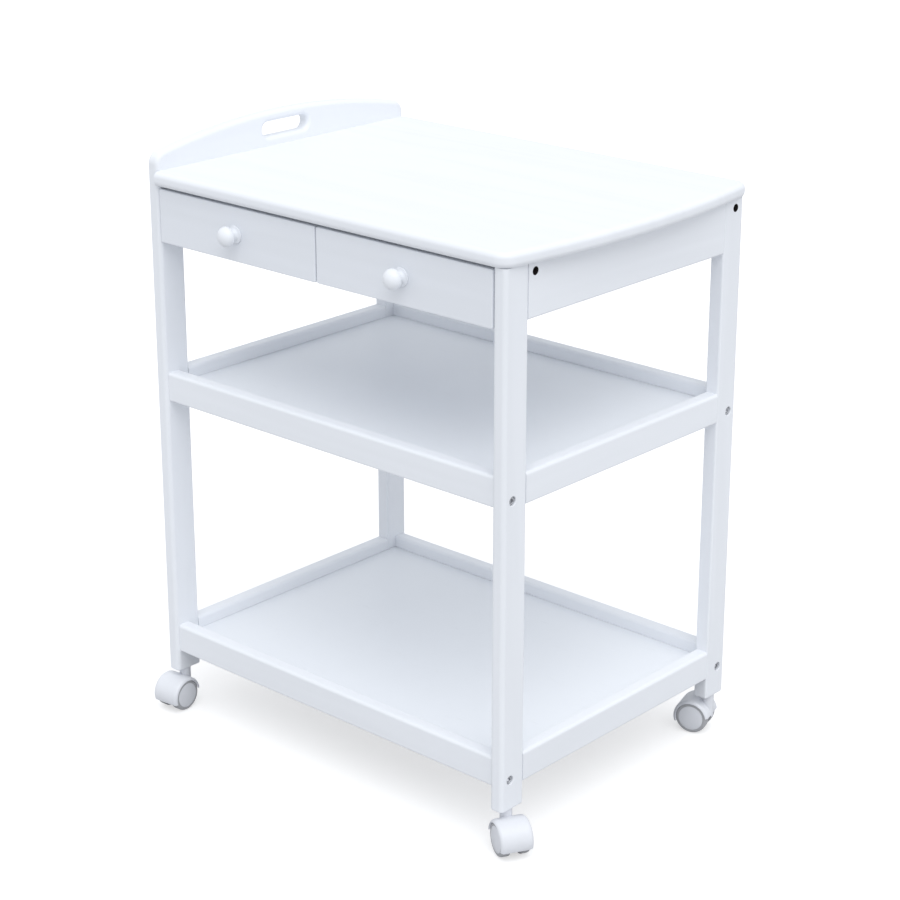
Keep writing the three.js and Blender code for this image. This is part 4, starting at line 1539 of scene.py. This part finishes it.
    def wheel_profile(self) -> Ring:
        """A wheel's profile: radius, and height from its inner face, with a domed cap inside its tread."""
        radius, width, cap = self.wheel_radius, self.wheel_width, self.cap_radius
        bore, bore_end = 0.0033, 0.0128
        hub, hub_foot, recess = 0.0065, 0.0072, 0.0012
        rim_foot, rim = radius - 0.0055, radius - 0.0045
        shoulder, crown, inner_round, seam = 0.005, 0.0014, 0.0018, 0.0006
        inner_edge = arc((radius - inner_round, inner_round), inner_round, -math.pi / 2, 0, 6)
        outer_edge = arc((radius - shoulder, width - crown - shoulder), shoulder, 0, math.pi / 2, 12)
        groove = [(cap + 0.0003, width - crown), (cap + 0.0002, width - crown - seam)]
        dome = [
            (cap * math.cos(angle), width - crown - seam + (crown + seam) * math.sin(angle))
            for angle in (math.pi / 2 * step / 16 for step in range(16))
        ]
        return [
            (0, bore_end), (bore, bore_end), (bore, 0), (hub, 0), (hub_foot, recess), (rim_foot, recess),
            (rim, 0), *inner_edge, *outer_edge, *groove, *dome, (0, width),
        ]

    def wheel(self, name: str, side: Side) -> bpy.types.Object:
        """One wheel.

        Args:
            name: The piece's name.
            side: The side of the castor that it is on.

        Returns:
            The finished wheel.
        """
        outward = self.place.to_3x3() @ Vector((0, side.value, 0))
        hub = self.place @ Vector((self.trail, side.value * self.wheel_gap, self.wheel_radius))
        return smooth(Solid().turn(self.wheel_profile(), facing(hub, outward), 96).made(name))

    def on_cap(self, side: Side) -> Callable[[Vector], bool]:
        """A test for a place on the cap of a wheel.

        Args:
            side: The side that the wheel is on.

        Returns:
            The test, which takes the place.
        """
        back_home = self.place.inverted()

        def test(place: Vector) -> bool:
            """Whether this place is on the cap."""
            local = back_home @ place
            away = math.hypot(local.x - self.trail, local.z - self.wheel_radius)
            return away < self.cap_radius and local.y * side.value > self.wheel_gap + self.wheel_width / 2

        return test

    def add(self, wardrobe: Wardrobe) -> None:
        """Builds the housing and the wheels, dresses the axle and hands them over."""
        settle(self.housing(), self.body, Slot.CASTOR_PLASTIC, wardrobe.plastic, f"{self.body}_housing")
        for word, side in (("left", Side.HIGH), ("right", Side.LOW)):
            node = f"{self.body}_wheel_{word}"
            wheel = settle(self.wheel(f"{node}_turned", side), node, Slot.CASTOR_PLASTIC, wardrobe.tread, node)
            accent(wheel, wardrobe.plastic, self.on_cap(side))
        dress(f"{self.body}_axle", wardrobe.steel)


# ---------- Studio ----------


@dataclass(frozen=True)
class Studio:
    """A pale floor, a broad soft light overhead and a bright room.

    Attributes:
        floor_size: The floor's length and width.
        room_light: The strength of the light from all round.
        room_colour: Its colour.
        lamp_strength: The overhead light's strength.
        lamp_angle: How broad it looks, in degrees; a broad one casts soft shadows.
        lamp_from: The direction that it shines from.
    """

    floor_size: float = 120.0
    room_light: float = 0.88
    room_colour: tuple = (0.955, 0.982, 1.015, 1.0)
    lamp_strength: float = 1.3
    lamp_angle: float = 50.0
    lamp_from: tuple = (0.5, -0.38, 1.0)

    def floor(self) -> None:
        """Lays the floor."""
        half = self.floor_size / 2
        corners = [Vector((x * half, y * half, 0)) for x, y in ((-1, -1), (1, -1), (1, 1), (-1, 1))]
        mesh = bpy.data.meshes.new("studio_floor")
        mesh.from_pydata(corners, [], [(0, 1, 2, 3)])
        mesh.materials.append(StudioPaper().made())
        laid = bpy.data.objects.new("studio_floor", mesh)
        bpy.context.scene.collection.objects.link(laid)

    def lights(self) -> None:
        """Hangs the overhead light and fills the room, which the camera sees as plain white."""
        lamp = bpy.data.lights.new("overhead", "SUN")
        lamp.energy = self.lamp_strength
        lamp.angle = math.radians(self.lamp_angle)
        hung = bpy.data.objects.new("overhead", lamp)
        hung.rotation_euler = Vector(self.lamp_from).to_track_quat("Z", "Y").to_euler()
        bpy.context.scene.collection.objects.link(hung)
        world = bpy.data.worlds.new("studio_room")
        world.use_nodes = True
        world.node_tree.nodes.clear()
        sheet = NodeSheet(world.node_tree)
        room = sheet.add("ShaderNodeBackground", {"Color": self.room_colour, "Strength": self.room_light})
        white = sheet.add("ShaderNodeBackground", {"Color": (1, 1, 1, 1), "Strength": 1.0})
        seen = sheet.add("ShaderNodeLightPath").outputs["Is Camera Ray"]
        either = sheet.add("ShaderNodeMixShader", {0: seen, 1: room.outputs[0], 2: white.outputs[0]})
        sheet.add("ShaderNodeOutputWorld", {"Surface": either.outputs[0]})
        bpy.context.scene.world = world
        bpy.context.scene.view_settings.view_transform = "Standard"


@dataclass(frozen=True)
class Viewpoint:
    """The camera: where it looks from, how far away it stands and what it looks at.

    Attributes:
        azimuth: Its bearing, in degrees; 0 looks along +Y.
        elevation: Its angle above the horizon, in degrees.
        distance: How far it stands from what it looks at.
        aim: What it looks at.
        lens: Its focal length, in millimetres.
        rise: Its vertical shift, in frame widths.
    """

    azimuth: float = 42.155
    elevation: float = 19.177
    distance: float = 3.458
    aim: tuple = (-0.0128, 0.0125, 0.5198)
    lens: float = 90.8
    rise: float = -0.05

    def set_up(self) -> None:
        """Makes the scene's camera."""
        bearing, height = math.radians(self.azimuth), math.radians(self.elevation)
        back = Vector((
            math.sin(bearing) * math.cos(height), -math.cos(bearing) * math.cos(height), math.sin(height),
        ))
        camera = bpy.data.cameras.new("camera")
        camera.lens = self.lens
        camera.shift_y = self.rise
        stand = bpy.data.objects.new("camera", camera)
        stand.location = Vector(self.aim) + back * self.distance
        stand.rotation_euler = back.to_track_quat("Z", "Y").to_euler()
        bpy.context.scene.collection.objects.link(stand)
        bpy.context.scene.camera = stand


# ---------- The whole table ----------

CASTOR_HEADINGS = {
    Corner.FRONT_FOOT: -28, Corner.FRONT_HEAD: -85, Corner.BACK_FOOT: -163, Corner.BACK_HEAD: 60,
}


def main() -> None:
    """Builds the studio and every sub-assembly of the table."""
    logging.basicConfig(level=logging.INFO, format="%(name)s: %(message)s")
    Viewpoint().set_up()
    studio = Studio()
    studio.floor()
    studio.lights()
    wardrobe = Wardrobe.filled()
    for corner in Corner:
        Leg(corner).add(wardrobe)
    BoltSet().add(wardrobe)
    TopSlab().add(wardrobe)
    Headboard().add(wardrobe)
    Apron("apron_head_end", Run.Y).add(wardrobe)
    Apron("apron_foot_end", Run.Y, hole=Bore(0.006, 0.015)).add(wardrobe)
    Apron("apron_back", Run.X).add(wardrobe)
    for name in ("tray_low", "tray_middle"):
        Tray(name).add(wardrobe)
    for name in ("drawer_head", "drawer_foot"):
        Drawer(name).add(wardrobe)
    for node in ("drawer_divider", "drawer_batten_head_end", "drawer_batten_foot_end"):
        dress(node, wardrobe.drawer[Run.Y])
    for corner, heading in CASTOR_HEADINGS.items():
        Castor(corner, heading).add(wardrobe)


if __name__ == "__main__":
    main()
